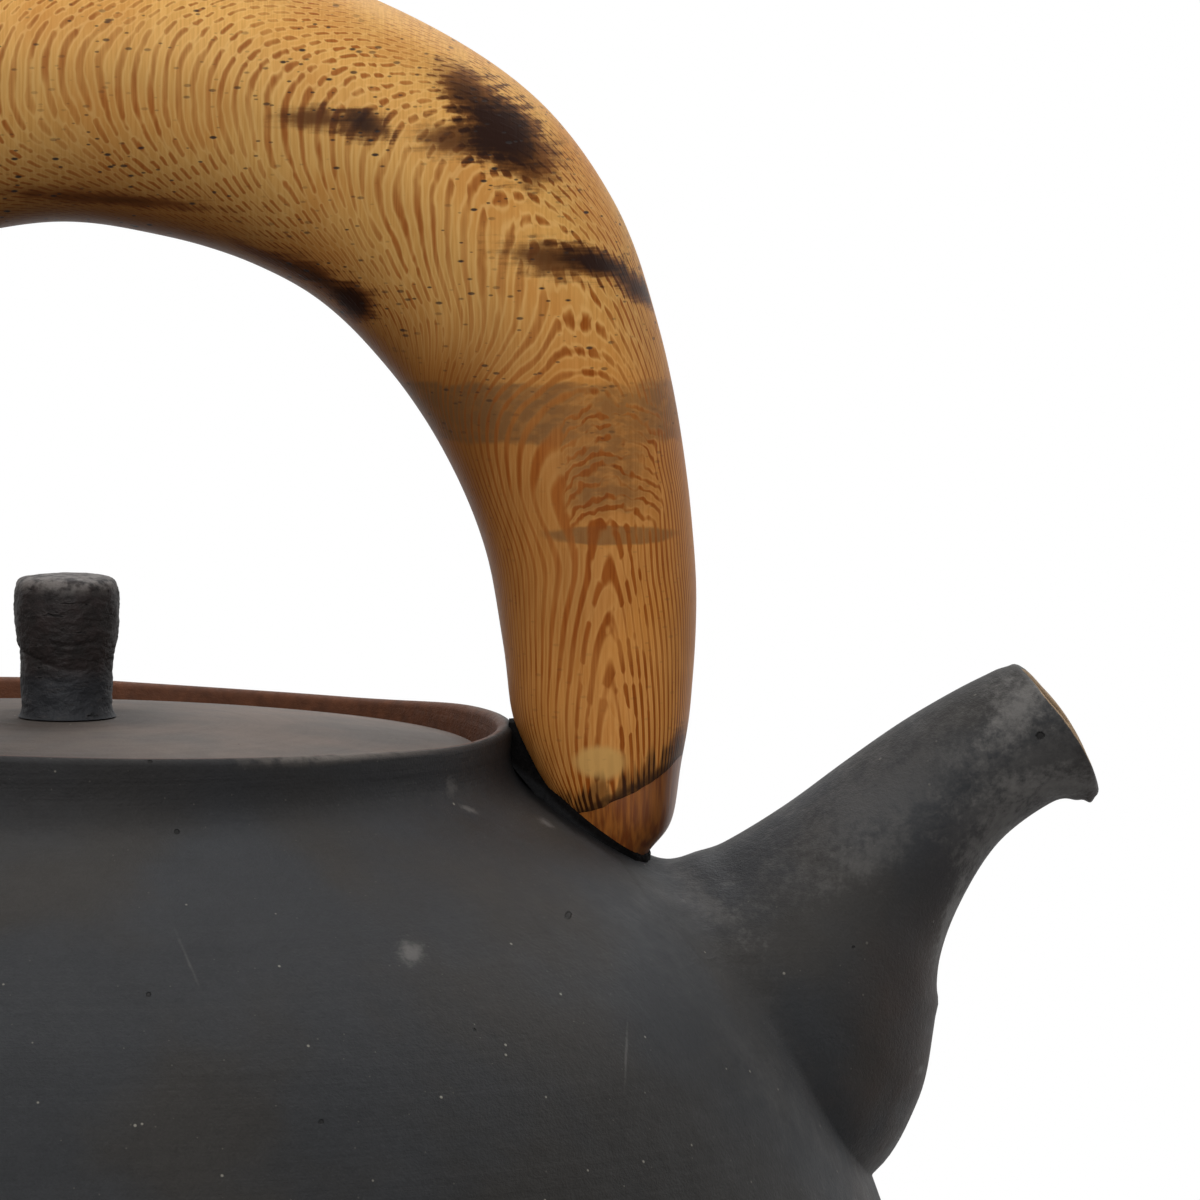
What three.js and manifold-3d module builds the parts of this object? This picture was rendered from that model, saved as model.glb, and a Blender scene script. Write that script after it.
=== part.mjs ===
// Stoneware tea kettle with a carved wooden bail handle.
// Millimetres, +Z up. The origin is the centre of the flat base, and the spout points along +X.

import * as THREE from "three";
import { mergeVertices } from "three/addons/utils/BufferGeometryUtils.js";
import Module from "manifold-3d";

const wasm = await Module();
wasm.setup();

// Clearance between two pieces that touch.
const GAP = 0.3;

// Thrown pot, from the edge of the flat base up to the neck of the collar: each anchor has the
// outline's heading there in degrees, and how far the curves before and after it keep to it.
const BASE_RADIUS = 66;
const POT_ANCHORS = [
  { radius: 69, height: 2.2, heading: 18, after: 19 },
  { radius: 104, height: 45, heading: 90, before: 20, after: 11, steps: 7 },
  { radius: 96.6, height: 79, heading: 110.5, before: 12, after: 22, steps: 4 },
  { radius: 57.2, height: 124.9, heading: 149, before: 32, after: 2.4, steps: 8 },
  { radius: 53.4, height: 130.8, heading: 90, before: 3, steps: 3 },
];
const RIM = { radius: 53.6, height: 134, lip: 2, rounding: 0.4 };
const WALL = 4;
const FLOOR = 6;

// Gallery: the ledge inside the collar that the lid sits on.
const GALLERY = { height: 127.3, wallRadius: 51.3, throatRadius: 44, thickness: 3.7 };

// Lid: a domed disc with a locating flange that hangs into the throat.
const LID = { radius: 49.8, edgeTop: 131.1, crownTop: 134.1, thickness: 3.5 };
const FLANGE = { outerRadius: 43.2, innerRadius: 40.2, depth: 8 };
const VENT = { radius: 1.5, offset: -22 };
const LID_KNOB = {
  foot: { radius: 5.6, height: 2, heading: 90, after: 6 },
  head: { radius: 6.5, height: 12.5, heading: 90, before: 5, steps: 6 },
  crown: 1.2,
  top: 151.4,
};

// Spout: matching points of its upper and lower edges in the plane y = 0, from inside the shoulder
// out to the mouth, with half its width at each pair.
const SPOUT_PAIRS = [
  { upper: [66, 108], lower: [84, 74], halfWidth: 21 },
  { upper: [72.5, 116.6], lower: [96.4, 78.6], halfWidth: 23.5 },
  { upper: [78.5, 119.2], lower: [102.2, 87.5], halfWidth: 20 },
  { upper: [86, 123.7], lower: [104.2, 96.5], halfWidth: 16 },
  { upper: [93.2, 129], lower: [104.9, 105], halfWidth: 13 },
  { upper: [100.1, 133.8], lower: [107.6, 112.4], halfWidth: 11.3 },
  { upper: [106.5, 137.6], lower: [112, 119.2], halfWidth: 10.2 },
  { upper: [110.6, 139.6], lower: [118, 123.9], halfWidth: 9.5 },
  { upper: [112.1, 140.2], lower: [121.8, 124], halfWidth: 9.3 },
  { upper: [113.4, 140.6], lower: [124, 125.4], halfWidth: 9.2 },
];
const SPOUT_WALL = { atShoulder: 3.4, atMouth: 2.2 };
const MOUTH = { heading: 35.6, crown: 1, runOut: 3 };

// Holes through the pot's wall behind the spout: rings of them around a point of the shoulder.
const STRAINER = {
  radius: 87,
  height: 100.2,
  tilt: 32.2,
  holeRadius: 2,
  rings: [[0, 1], [6.2, 6], [12.2, 12]],
};

// Handle: matching points of its inner and outer edges in the plane y = 0, from the crown of the
// arch down to the foot, with half its depth at each pair. The rear half is the mirror image.
const HANDLE_PAIRS = [
  { inner: [0, 193.6], outer: [0, 228.4], halfDepth: 14.6 },
  { inner: [12, 191.9], outer: [20, 226.2], halfDepth: 14.6 },
  { inner: [22.5, 188.6], outer: [40, 218.9], halfDepth: 14.7 },
  { inner: [31.5, 183.4], outer: [55.5, 208.8], halfDepth: 14.7 },
  { inner: [40, 174.3], outer: [65.6, 195.8], halfDepth: 14.4 },
  { inner: [46, 164.7], outer: [71, 181.4], halfDepth: 14 },
  { inner: [50.2, 154.2], outer: [74, 166.8], halfDepth: 13.6 },
  { inner: [52.3, 143], outer: [75.6, 150], halfDepth: 13.1 },
  { inner: [53.4, 134.6], outer: [75, 136.4], halfDepth: 12.4 },
  { inner: [55.6, 129], outer: [73.8, 128.4], halfDepth: 11.7 },
  { inner: [57.9, 125], outer: [72.7, 121.8], halfDepth: 10.8 },
  { inner: [60.2, 120], outer: [70.2, 118.3], halfDepth: 9 },
  { inner: [62, 115], outer: [67, 114.4], halfDepth: 6.5 },
];
const SECTION_POWER = 2.35;

// Foot: the cone that the legs are scribed to, and the slanted joint that the toe is glued along.
const SEAT = { radius: 58.4, height: 126.9, fall: 0.764, innerEdge: 53.4, outerEdge: 84, bottom: 100 };
const TOE_JOINT = { inner: [61.9, 123.7], outer: [73.9, 129.9] };
const LUG = { offset: 63.5, footRadius: 4.4, topRadius: 4, top: 142, chamfer: 1 };

const SIDES = { vessel: 56, lid: 48, knob: 24, lug: 16, hole: 8, spout: 24, handle: 22 };
const STEPS = { spout: 18, handle: 44 };

const COLOURS = {
  clay: 0x3c3d3f,
  lidClay: 0x786e66,
  knobClay: 0x2b2725,
  wood: 0xa9743c,
  toeWood: 0x5f3a1c,
  bedding: 0x0e0d0d,
};

function point(x, y) {
  return new THREE.Vector2(x, y);
}

// Points of the smooth curve between two anchors, without the first.
function curveBetween(from, to) {
  const away = (anchor, distance) =>
    point(
      anchor.radius + distance * Math.cos(THREE.MathUtils.degToRad(anchor.heading)),
      anchor.height + distance * Math.sin(THREE.MathUtils.degToRad(anchor.heading)),
    );
  const curve = new THREE.CubicBezierCurve(
    away(from, 0),
    away(from, from.after),
    away(to, -to.before),
    away(to, 0),
  );
  return curve.getPoints(to.steps).slice(1);
}

// The closed solid of a geometry whose faces point outwards.
function solidOf(geometry) {
  const bare = geometry.clone();
  bare.deleteAttribute("normal");
  bare.deleteAttribute("uv");
  const merged = mergeVertices(bare, 1e-4);
  return new wasm.Manifold(
    new wasm.Mesh({
      numProp: 3,
      vertProperties: merged.attributes.position.array,
      triVerts: new Uint32Array(merged.index.array),
    }),
  );
}

function geometryOf(solid) {
  const mesh = solid.getMesh();
  const geometry = new THREE.BufferGeometry();
  geometry.setAttribute("position", new THREE.BufferAttribute(mesh.vertProperties, 3));
  geometry.setIndex(new THREE.BufferAttribute(mesh.triVerts, 1));
  geometry.computeVertexNormals();
  return geometry;
}

// Turns an outline of radius and height points about the Z axis. It runs anticlockwise, with
// radius to the right and height up, and starts and ends on the axis.
function revolved(outline, sides) {
  return new THREE.LatheGeometry(outline, sides).rotateX(Math.PI / 2);
}

// An outline moved sideways, to the right of its own direction.
function offsetOutline(outline, distance) {
  return outline.map((here, i) => {
    const before = outline[Math.max(i - 1, 0)];
    const after = outline[Math.min(i + 1, outline.length - 1)];
    const along = after.clone().sub(before).normalize();
    return point(here.x + along.y * distance, here.y - along.x * distance);
  });
}

// A closed skin over rings of equal length, with a fan at each end.
function loft(rings) {
  const sides = rings[0].length;
  const positions = rings.flat().flatMap((p) => [p.x, p.y, p.z]);
  const triangles = [];
  for (let k = 0; k + 1 < rings.length; k += 1) {
    for (let i = 0; i < sides; i += 1) {
      const a = k * sides + i;
      const b = k * sides + ((i + 1) % sides);
      triangles.push(a, b, b + sides, a, b + sides, a + sides);
    }
  }
  const ends = [
    { ring: rings[0], first: 0, turned: true },
    { ring: rings.at(-1), first: (rings.length - 1) * sides, turned: false },
  ];
  for (const { ring, first, turned } of ends) {
    const centre = positions.length / 3;
    const middle = ring.reduce((sum, p) => sum.add(p), new THREE.Vector3()).divideScalar(sides);
    positions.push(middle.x, middle.y, middle.z);
    for (let i = 0; i < sides; i += 1) {
      const a = first + i;
      const b = first + ((i + 1) % sides);
      triangles.push(centre, turned ? b : a, turned ? a : b);
    }
  }
  const geometry = new THREE.BufferGeometry();
  geometry.setAttribute("position", new THREE.Float32BufferAttribute(positions, 3));
  geometry.setIndex(triangles);
  return geometry;
}

// A ring that spans two points of the plane y = 0 and swells to halfWidth on either side of it.
// power 2 is an ellipse, and more is squarer. lean moves the flanks along the given direction.
function crossRing({ near, far, halfWidth, power, sides, lean = new THREE.Vector3() }) {
  const soften = (value) => Math.sign(value) * Math.abs(value) ** (2 / power);
  const middle = near.clone().add(far).multiplyScalar(0.5);
  const reach = far.clone().sub(near).multiplyScalar(0.5);
  return Array.from({ length: sides }, (_, i) => {
    const angle = (2 * Math.PI * i) / sides;
    const across = soften(Math.cos(angle));
    const out = soften(Math.sin(angle));
    return new THREE.Vector3(
      middle.x + reach.x * across + lean.x * out * out,
      halfWidth * out,
      middle.y + reach.y * across + lean.z * out * out,
    );
  });
}

// Outside of the pot, from the edge of the flat base up to the top of the rim.
function outsideOutline() {
  const [foot, ...rest] = POT_ANCHORS;
  const curves = rest.map((anchor, i) => curveBetween(POT_ANCHORS[i], anchor));
  const cove = curves.pop();
  return {
    wall: [point(foot.radius, foot.height), ...curves.flat()],
    collar: [
      ...cove,
      point(RIM.radius, RIM.height - RIM.lip / 2 - RIM.rounding),
      point(RIM.radius - RIM.rounding, RIM.height - RIM.rounding),
      point(RIM.radius - RIM.lip / 2, RIM.height),
    ],
  };
}

// The pot's outside grown by a clearance and filled in, for cutting what rests against it.
function potEnvelope(clearance) {
  const { wall, collar } = outsideOutline();
  const grown = offsetOutline([...wall, ...collar], clearance);
  return solidOf(revolved([point(0, 0), ...grown, point(0, grown.at(-1).y)], SIDES.vessel));
}

function vessel() {
  const { wall, collar } = outsideOutline();
  const gallery = [
    point(RIM.radius - RIM.lip + RIM.rounding, RIM.height - RIM.rounding),
    point(GALLERY.wallRadius, GALLERY.height + 1.2),
    point(GALLERY.wallRadius - 1, GALLERY.height),
    point(GALLERY.throatRadius, GALLERY.height),
    point(GALLERY.throatRadius, GALLERY.height - GALLERY.thickness),
  ];
  const inside = offsetOutline(wall, -WALL).filter((_, i) => i % 2 === 0);
  inside[0].y = FLOOR;
  const outline = [
    point(0, 0),
    point(BASE_RADIUS, 0),
    ...wall,
    ...collar,
    ...gallery,
    ...inside.reverse(),
    point(0, FLOOR),
  ];
  const shell = solidOf(revolved(outline, SIDES.vessel));
  return geometryOf(strainerHoles().reduce((pot, hole) => pot.subtract(hole), shell));
}

// Straight pins for piercing the wall behind the spout, square to the shoulder there.
function strainerHoles() {
  const tilt = THREE.MathUtils.degToRad(STRAINER.tilt);
  const outwards = new THREE.Vector3(Math.cos(tilt), 0, Math.sin(tilt));
  const along = new THREE.Vector3(-Math.sin(tilt), 0, Math.cos(tilt));
  const side = new THREE.Vector3(0, 1, 0);
  const turn = new THREE.Quaternion().setFromUnitVectors(side, outwards);
  const { holeRadius, rings, radius, height } = STRAINER;
  return rings.flatMap(([ringRadius, count]) =>
    Array.from({ length: count }, (_, i) => {
      const angle = (2 * Math.PI * i) / count;
      const place = new THREE.Vector3(radius, 0, height)
        .addScaledVector(along, ringRadius * Math.cos(angle))
        .addScaledVector(side, ringRadius * Math.sin(angle));
      const pin = new THREE.CylinderGeometry(holeRadius, holeRadius, 6 * WALL, SIDES.hole);
      return solidOf(pin.applyQuaternion(turn).translate(place.x, place.y, place.z));
    }),
  );
}

// Rings along the spout. inset shrinks them for the channel, which also runs on past the mouth.
function spoutRings(inset) {
  const upper = new THREE.SplineCurve(SPOUT_PAIRS.map((pair) => point(...pair.upper)));
  const lower = new THREE.SplineCurve(SPOUT_PAIRS.map((pair) => point(...pair.lower)));
  const widths = new THREE.SplineCurve(SPOUT_PAIRS.map((pair, i) => point(i, pair.halfWidth)));
  const heading = THREE.MathUtils.degToRad(MOUTH.heading);
  const mouthAxis = new THREE.Vector3(Math.cos(heading), 0, Math.sin(heading));
  const rings = Array.from({ length: STEPS.spout + 1 }, (_, step) => {
    const t = step / STEPS.spout;
    const near = upper.getPoint(t);
    const far = lower.getPoint(t);
    const thickness = inset ? THREE.MathUtils.lerp(inset.atShoulder, inset.atMouth, t) : 0;
    const across = far.clone().sub(near).setLength(thickness);
    return crossRing({
      near: near.add(across),
      far: far.sub(across),
      halfWidth: widths.getPoint(t).y - thickness,
      power: 2,
      sides: SIDES.spout,
      lean: mouthAxis.clone().multiplyScalar(MOUTH.crown * t ** 4),
    });
  });
  if (inset) {
    rings.push(rings.at(-1).map((p) => p.clone().addScaledVector(mouthAxis, MOUTH.runOut)));
  }
  return rings;
}

function spout() {
  const outside = solidOf(loft(spoutRings(null)));
  const channel = solidOf(loft(spoutRings(SPOUT_WALL)));
  return geometryOf(outside.subtract(channel).subtract(potEnvelope(GAP)));
}

// Height of the lid's domed top at a radius.
function lidTop(radius) {
  return LID.crownTop - (LID.crownTop - LID.edgeTop) * (radius / LID.radius) ** 2;
}

function lid() {
  const seat = GALLERY.height + GAP;
  const edge = LID.radius;
  const dome = [47.5, 40, 32, 24, 16, 8, 0].map((radius) => point(radius, lidTop(radius)));
  const vault = [0, 13, 26, FLANGE.innerRadius].map((radius) =>
    point(radius, lidTop(radius) - LID.thickness),
  );
  const outline = [
    ...vault,
    point(FLANGE.innerRadius, seat - FLANGE.depth + 1),
    point(FLANGE.innerRadius + 0.8, seat - FLANGE.depth),
    point(FLANGE.outerRadius - 1, seat - FLANGE.depth),
    point(FLANGE.outerRadius, seat - FLANGE.depth + 1.5),
    point(FLANGE.outerRadius, seat),
    point(edge - 1, seat),
    point(edge, seat + 1),
    point(edge, LID.edgeTop - 1),
    point(edge - 0.8, LID.edgeTop - 0.1),
    ...dome,
  ];
  const disc = solidOf(revolved(outline, SIDES.lid));
  const pin = new THREE.CylinderGeometry(VENT.radius, VENT.radius, 20, 12).rotateX(Math.PI / 2);
  return geometryOf(disc.subtract(solidOf(pin.translate(VENT.offset, 0, LID.crownTop))));
}

function lidKnob() {
  const base = LID.crownTop + GAP;
  const { foot, head, crown, top } = LID_KNOB;
  const raised = (anchor) => ({ ...anchor, height: anchor.height + base });
  const outline = [
    point(0, base),
    point(foot.radius + crown / 4, base),
    point(foot.radius, raised(foot).height),
    ...curveBetween(raised(foot), raised(head)),
    point(head.radius - crown / 6, top - 2 * crown),
    point(head.radius - crown, top - crown),
    point(head.radius - 2 * crown, top - crown / 3),
    point(0, top),
  ];
  return revolved(outline, SIDES.knob);
}

// The whole arch with both legs, before the feet are cut.
function handleBlank() {
  const mirrored = HANDLE_PAIRS.slice(1)
    .reverse()
    .map(({ inner, outer, halfDepth }) => ({
      inner: [-inner[0], inner[1]],
      outer: [-outer[0], outer[1]],
      halfDepth,
    }));
  const pairs = [...mirrored, ...HANDLE_PAIRS];
  const inner = new THREE.SplineCurve(pairs.map((pair) => point(...pair.inner)));
  const outer = new THREE.SplineCurve(pairs.map((pair) => point(...pair.outer)));
  const depths = new THREE.SplineCurve(pairs.map((pair, i) => point(i, pair.halfDepth)));
  const rings = Array.from({ length: STEPS.handle + 1 }, (_, step) => {
    const t = step / STEPS.handle;
    return crossRing({
      near: outer.getPoint(t),
      far: inner.getPoint(t),
      halfWidth: depths.getPoint(t).y,
      power: SECTION_POWER,
      sides: SIDES.handle,
    });
  });
  return solidOf(loft(rings));
}

// Everything below the cone that the feet are scribed to, lowered by a drop.
function belowSeat(drop) {
  const heightAt = (radius) => SEAT.height - SEAT.fall * (radius - SEAT.radius) - drop;
  const { innerEdge, outerEdge, bottom } = SEAT;
  const outline = [
    point(0, bottom),
    point(outerEdge, bottom),
    point(outerEdge, heightAt(outerEdge)),
    point(innerEdge, heightAt(innerEdge)),
    point(0, heightAt(innerEdge)),
  ];
  return solidOf(revolved(outline, SIDES.vessel));
}

// A block whose upper face is the toe's slanted joint, lowered by a drop. side is 1 at the front.
function belowToeJoint(drop, side) {
  const { inner, outer } = TOE_JOINT;
  const slope = Math.atan2(outer[1] - inner[1], outer[0] - inner[0]);
  const block = new THREE.BoxGeometry(60, 60, 40).translate(0, 0, -20 - drop);
  block.rotateY(-slope * side);
  return solidOf(block.translate(side * inner[0], 0, inner[1]));
}

// A stoneware post on the shoulder, grown by a clearance for the hole around it.
function lugPost(clearance, side) {
  const { footRadius, topRadius, top, chamfer } = LUG;
  const outline = [
    point(0, SEAT.bottom),
    point(footRadius + clearance, SEAT.bottom),
    point(topRadius + clearance, top - chamfer),
    point(topRadius - chamfer + clearance, top + clearance),
    point(0, top + clearance),
  ];
  return solidOf(revolved(outline, SIDES.lug).translate(side * LUG.offset, 0, 0));
}

function lug(side) {
  return geometryOf(lugPost(0, side).subtract(potEnvelope(GAP)));
}

function scribedBlank() {
  return handleBlank().subtract(potEnvelope(GAP)).subtract(belowSeat(0));
}

function handle() {
  const cutters = [1, -1].flatMap((side) => [
    belowToeJoint(-GAP / 2, side),
    lugPost(GAP, side),
  ]);
  return geometryOf(cutters.reduce((wood, cutter) => wood.subtract(cutter), scribedBlank()));
}

function toe(side) {
  const wedge = scribedBlank().intersect(belowToeJoint(GAP / 2, side));
  return geometryOf(wedge.subtract(lugPost(GAP, side)));
}

// Black bedding that fills the wedge between the scribed foot and the shoulder.
function bed(side) {
  const half = new THREE.BoxGeometry(60, 60, 60).translate(side * 64, 0, 120);
  const fill = handleBlank().intersect(solidOf(half)).intersect(belowSeat(GAP));
  return geometryOf(fill.subtract(potEnvelope(GAP)).subtract(lugPost(GAP, side)));
}

const FINISHES = {
  clay: { color: COLOURS.clay, roughness: 0.85, metalness: 0 },
  lidClay: { color: COLOURS.lidClay, roughness: 0.85, metalness: 0 },
  knobClay: { color: COLOURS.knobClay, roughness: 0.7, metalness: 0 },
  wood: { color: COLOURS.wood, roughness: 0.45, metalness: 0 },
  toeWood: { color: COLOURS.toeWood, roughness: 0.45, metalness: 0 },
  bedding: { color: COLOURS.bedding, roughness: 0.6, metalness: 0 },
};

const kettle = new THREE.Group();

function addPiece(name, geometry, finish) {
  const piece = new THREE.Mesh(geometry, new THREE.MeshStandardMaterial(FINISHES[finish]));
  piece.name = name;
  kettle.add(piece);
}

addPiece("vessel", vessel(), "clay");
addPiece("spout", spout(), "clay");
addPiece("lid", lid(), "lidClay");
addPiece("lid_knob", lidKnob(), "knobClay");
addPiece("handle", handle(), "wood");
for (const [name, side] of [["front", 1], ["rear", -1]]) {
  addPiece(`${name}_toe`, toe(side), "toeWood");
  addPiece(`${name}_bed`, bed(side), "bedding");
  addPiece(`${name}_lug`, lug(side), "clay");
}

export default kettle;
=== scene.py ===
import math

import bmesh
import bpy
import numpy as np
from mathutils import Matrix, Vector, noise


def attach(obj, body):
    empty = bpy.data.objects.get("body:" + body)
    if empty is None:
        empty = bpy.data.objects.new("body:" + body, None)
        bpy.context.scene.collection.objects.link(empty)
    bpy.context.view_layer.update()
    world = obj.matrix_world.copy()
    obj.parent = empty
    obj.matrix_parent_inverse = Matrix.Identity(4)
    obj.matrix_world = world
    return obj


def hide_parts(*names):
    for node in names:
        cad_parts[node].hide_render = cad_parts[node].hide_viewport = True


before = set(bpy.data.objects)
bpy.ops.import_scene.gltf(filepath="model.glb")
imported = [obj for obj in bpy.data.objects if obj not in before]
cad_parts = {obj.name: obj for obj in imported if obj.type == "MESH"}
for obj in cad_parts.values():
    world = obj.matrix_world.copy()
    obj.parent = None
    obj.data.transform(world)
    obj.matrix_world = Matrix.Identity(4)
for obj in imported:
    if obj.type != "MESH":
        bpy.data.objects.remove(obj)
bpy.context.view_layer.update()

# Lengths are in millimetres and become metres when a mesh is made. The base's centre is the
# origin, the spout points along +X, and the side that the camera sees faces -Y.
MM = 0.001
TAU = 2 * math.pi
SHARP_ANGLE = math.radians(38)

# Thrown pot: the same anchors and curves as the solid, with more steps.
BASE_RADIUS = 66
POT_ANCHORS = [
    {"radius": 69, "height": 2.2, "heading": 18, "after": 19},
    {"radius": 104, "height": 45, "heading": 90, "before": 20, "after": 11, "steps": 46},
    {"radius": 96.6, "height": 79, "heading": 110.5, "before": 12, "after": 22, "steps": 40},
    {"radius": 57.2, "height": 124.9, "heading": 149, "before": 32, "after": 2.4, "steps": 80},
    {"radius": 53.4, "height": 130.8, "heading": 90, "before": 3, "steps": 16},
]
RIM = {"radius": 53.6, "height": 134, "lip": 2, "rounding": 0.8}
# How far the hand-thrown rim rises: degrees round the pot and millimetres.
RIM_RISE = [
    (-180, 0.5), (-150, 0.9), (-120, 1.15), (-97, 1.25), (-79, 0.68), (-58, 0.17), (-43, -0.2),
    (-31, -0.85), (-21, -0.95), (0, -0.6), (21, -0.65), (31, -0.85), (43, -1.65), (58, -1.75),
    (76, -1.4), (97, -0.3), (125, 0.2), (150, 0.4), (180, 0.5),
]
WALL = 4
FLOOR = 6
GALLERY = {"height": 127.3, "wall": 51.3, "throat": 44, "thickness": 3.7}
THROWING_MARKS = {"fine": 0.045, "fine_rise": 2.6, "broad": 0.16, "broad_rise": 13}
POT_SIDES = 288

LID = {"radius": 49.6, "edge_top": 131.1, "crown_top": 134.1, "seat": 127.6, "thickness": 3.5}
LID_EDGE = 0.9
LID_SLANT = 0.018
FLANGE = {"outer": 43.2, "inner": 40.2, "depth": 8}
VENT = {"radius": 1.5, "offset": -22, "bottom": 120, "top": 140, "sides": 24}
LID_SIDES = 240
KNOB = {"base": 134.25, "top": 151.4, "pole": 16.95, "rows": 110, "sides": 120}
KNOB_OUTLINE = [
    (5.9, 0), (5.72, 0.3), (5.6, 1.0), (5.55, 2.2), (5.55, 3.8), (5.6, 5.4), (5.68, 6.8),
    (5.86, 7.8), (6.1, 9), (6.28, 10.4), (6.4, 11.8), (6.46, 13), (6.46, 14.2), (6.4, 15.2),
    (6.05, 16.2), (5.0, 16.8), (2.4, 17.05),
]
# Pinched creases of the knob: height above its base and depth.
KNOB_CREASES = [(7.2, 0.2), (9.6, 0.12)]

# Spout: upper and lower edge in the plane y = 0, and half the width, from the shoulder outwards.
SPOUT_UPPER = [
    (66, 107.8), (72.8, 116.2), (78.8, 118.8), (86.2, 123.4), (93.4, 128.7),
    (100.3, 133.5), (106.7, 137.3), (110.8, 139.4), (112.3, 140.1), (113.6, 140.6),
]
SPOUT_LOWER = [
    (84, 74), (96.4, 78.6), (102.2, 87.5), (104.2, 96.5), (104.9, 105),
    (107.6, 112.4), (112, 119.2), (118.3, 123.8), (121.8, 124.3), (124.3, 125.3),
]
SPOUT_HALF_WIDTH = [21, 23.5, 20, 16, 13, 11.3, 10.2, 9.5, 9.3, 9.2]
SPOUT_WALL = (3.4, 2.2)
SPOUT_SIDES = 96
# The fillet between the spout and the pot, which grows from a low to a high place. Its skirt
# ends under the pot's outside: further outwards and down.
FILLET = {"least": 0.8, "growth": 4.6, "low": 84, "high": 116, "start": 0.62, "reach": 1.15}
BURIED = [(1.2, 0.02), (2.4, 0.12), (3.2, 0.5)]
MOUTH = {"heading": 35.6, "crown": 1.4, "rounding": 0.55, "softer": 0.45}
BEAD = {"gap": 0.8, "width": 0.8, "droop": 0.75, "out": 0.15}
NUB = {"height": 99.6, "width": 1.2, "out": 0.3}
STRAINER = {"radius": 87, "height": 100.2, "tilt": 32.2, "hole": 2, "reach": 12, "sides": 20}
# Rings of the strainer's holes: radius and count.
STRAINER_RINGS = [(0, 1), (6.2, 6), (12.2, 12)]

# Handle: inner and outer edge in the plane y = 0, and half the depth, from the crown to the foot.
HANDLE_INNER = [
    (0, 193.6), (12, 191.9), (22.5, 188.6), (31.5, 183.4), (40, 174.3), (46, 164.7), (50.2, 154.2),
    (52.3, 143), (53.4, 134.6), (55.6, 129), (57.9, 125), (60.2, 120), (62, 115),
]
HANDLE_OUTER = [
    (0, 228.4), (20, 226.2), (39.9, 219.0), (55.8, 209), (65.8, 196), (71, 181.4), (74, 166.8),
    (75.6, 150), (75, 136.4), (73.8, 128.4), (72.7, 121.8), (70.2, 118.3), (67, 114.4),
]
HANDLE_HALF_DEPTH = [14.6, 14.6, 14.7, 14.7, 14.4, 14, 13.6, 13.1, 12.4, 11.7, 10.8, 9, 6.5]
HANDLE_POWER = 2.35
HANDLE_SIDES = 112
HANDLE_ROWS = 421
# Where on the handle the rings of a toe and of a bed start, and how many there are.
TOE_ROWS = (0.86, 90)
BED_ROWS = (0.8, 900)
SEAT = {"radius": 58.4, "height": 126.4, "fall": 0.764, "hollow": 1.3}
SEAT_CUTTER = {"inner": 50, "outer": 84, "bottom": 90, "rows": 69, "sides": 256}
TOE_JOINT = ((61.9, 123.7), (73.9, 129.9))
JOINT_GAP = 0.03
JOINT_SAG = 0.75
LUG = {"offset": 63.5, "radius": 4.55, "bottom": 104, "top": 142.2, "sides": 32}


# Curves.


def bezier(p0, p1, p2, p3, t):
    """Points at t (0 to 1) of a cubic curve."""
    return (1 - t) ** 3 * p0 + 3 * (1 - t) ** 2 * t * p1 + 3 * (1 - t) * t**2 * p2 + t**3 * p3


def along(anchor, distance):
    heading = math.radians(anchor["heading"])
    direction = np.array([math.cos(heading), math.sin(heading)])
    return np.array([anchor["radius"], anchor["height"]]) + distance * direction


def between(start, end):
    """The curve from one anchor to the next, without its first point."""
    t = np.linspace(0, 1, end["steps"] + 1)[1:, None]
    leaving, arriving = along(start, start["after"]), along(end, -end["before"])
    return bezier(along(start, 0), leaving, arriving, along(end, 0), t)


def spline(points, t):
    """Points at t (0 to 1) of the uniform Catmull-Rom curve through the given points."""
    pts = np.asarray(points, float)
    last = len(pts) - 1
    place = np.clip(t, 0, 1) * last
    i = np.minimum(place.astype(int), last - 1)
    w = (place - i).reshape(-1, *[1] * (pts.ndim - 1))
    p0, p1, p2, p3 = pts[np.maximum(i - 1, 0)], pts[i], pts[i + 1], pts[np.minimum(i + 2, last)]
    v0, v1 = (p2 - p0) / 2, (p3 - p1) / 2
    return (2 * p1 - 2 * p2 + v0 + v1) * w**3 + (3 * p2 - 3 * p1 - 2 * v0 - v1) * w**2 + v0 * w + p1


def smooth(value, low, high):
    """0 below low, 1 above high, with soft ends."""
    t = np.clip((value - low) / (high - low), 0, 1)
    return t * t * (3 - 2 * t)


def hump(value, centre, width):
    """1 at the centre, falling off on both sides."""
    return np.exp(-(((value - centre) / width) ** 2))


def unit(vectors):
    return vectors / np.maximum(np.linalg.norm(vectors, axis=-1, keepdims=True), 1e-12)


def wobble(points, size, seed):
    """Smooth noise from -1 to 1 at each point, with features of the given size."""
    flat = points.reshape(-1, 3) / size + seed
    values = np.array([noise.noise(Vector(p)) for p in flat.tolist()])
    return values.reshape(points.shape[:-1])


def radius_of(points):
    return np.hypot(points[..., 0], points[..., 1])


def circle(sides):
    """Cosines and sines of angles spread evenly round a circle."""
    angle = np.linspace(0, TAU, sides, endpoint=False)
    return np.cos(angle), np.sin(angle)


# Meshes.


def grid_faces(rows, columns, closed_rows=False):
    r = np.arange(rows if closed_rows else rows - 1)[:, None]
    c = np.arange(columns)[None, :]
    nr, nc = (r + 1) % rows, (c + 1) % columns
    quads = [r * columns + c, r * columns + nc, nr * columns + nc, nr * columns + c]
    return np.stack(np.broadcast_arrays(*quads), axis=2).reshape(-1, 4)


def fan_faces(ring, pole, turned):
    following = np.roll(ring, -1)
    ends = (following, ring) if turned else (ring, following)
    return np.stack([np.full(len(ring), pole), *ends], axis=1)


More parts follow.
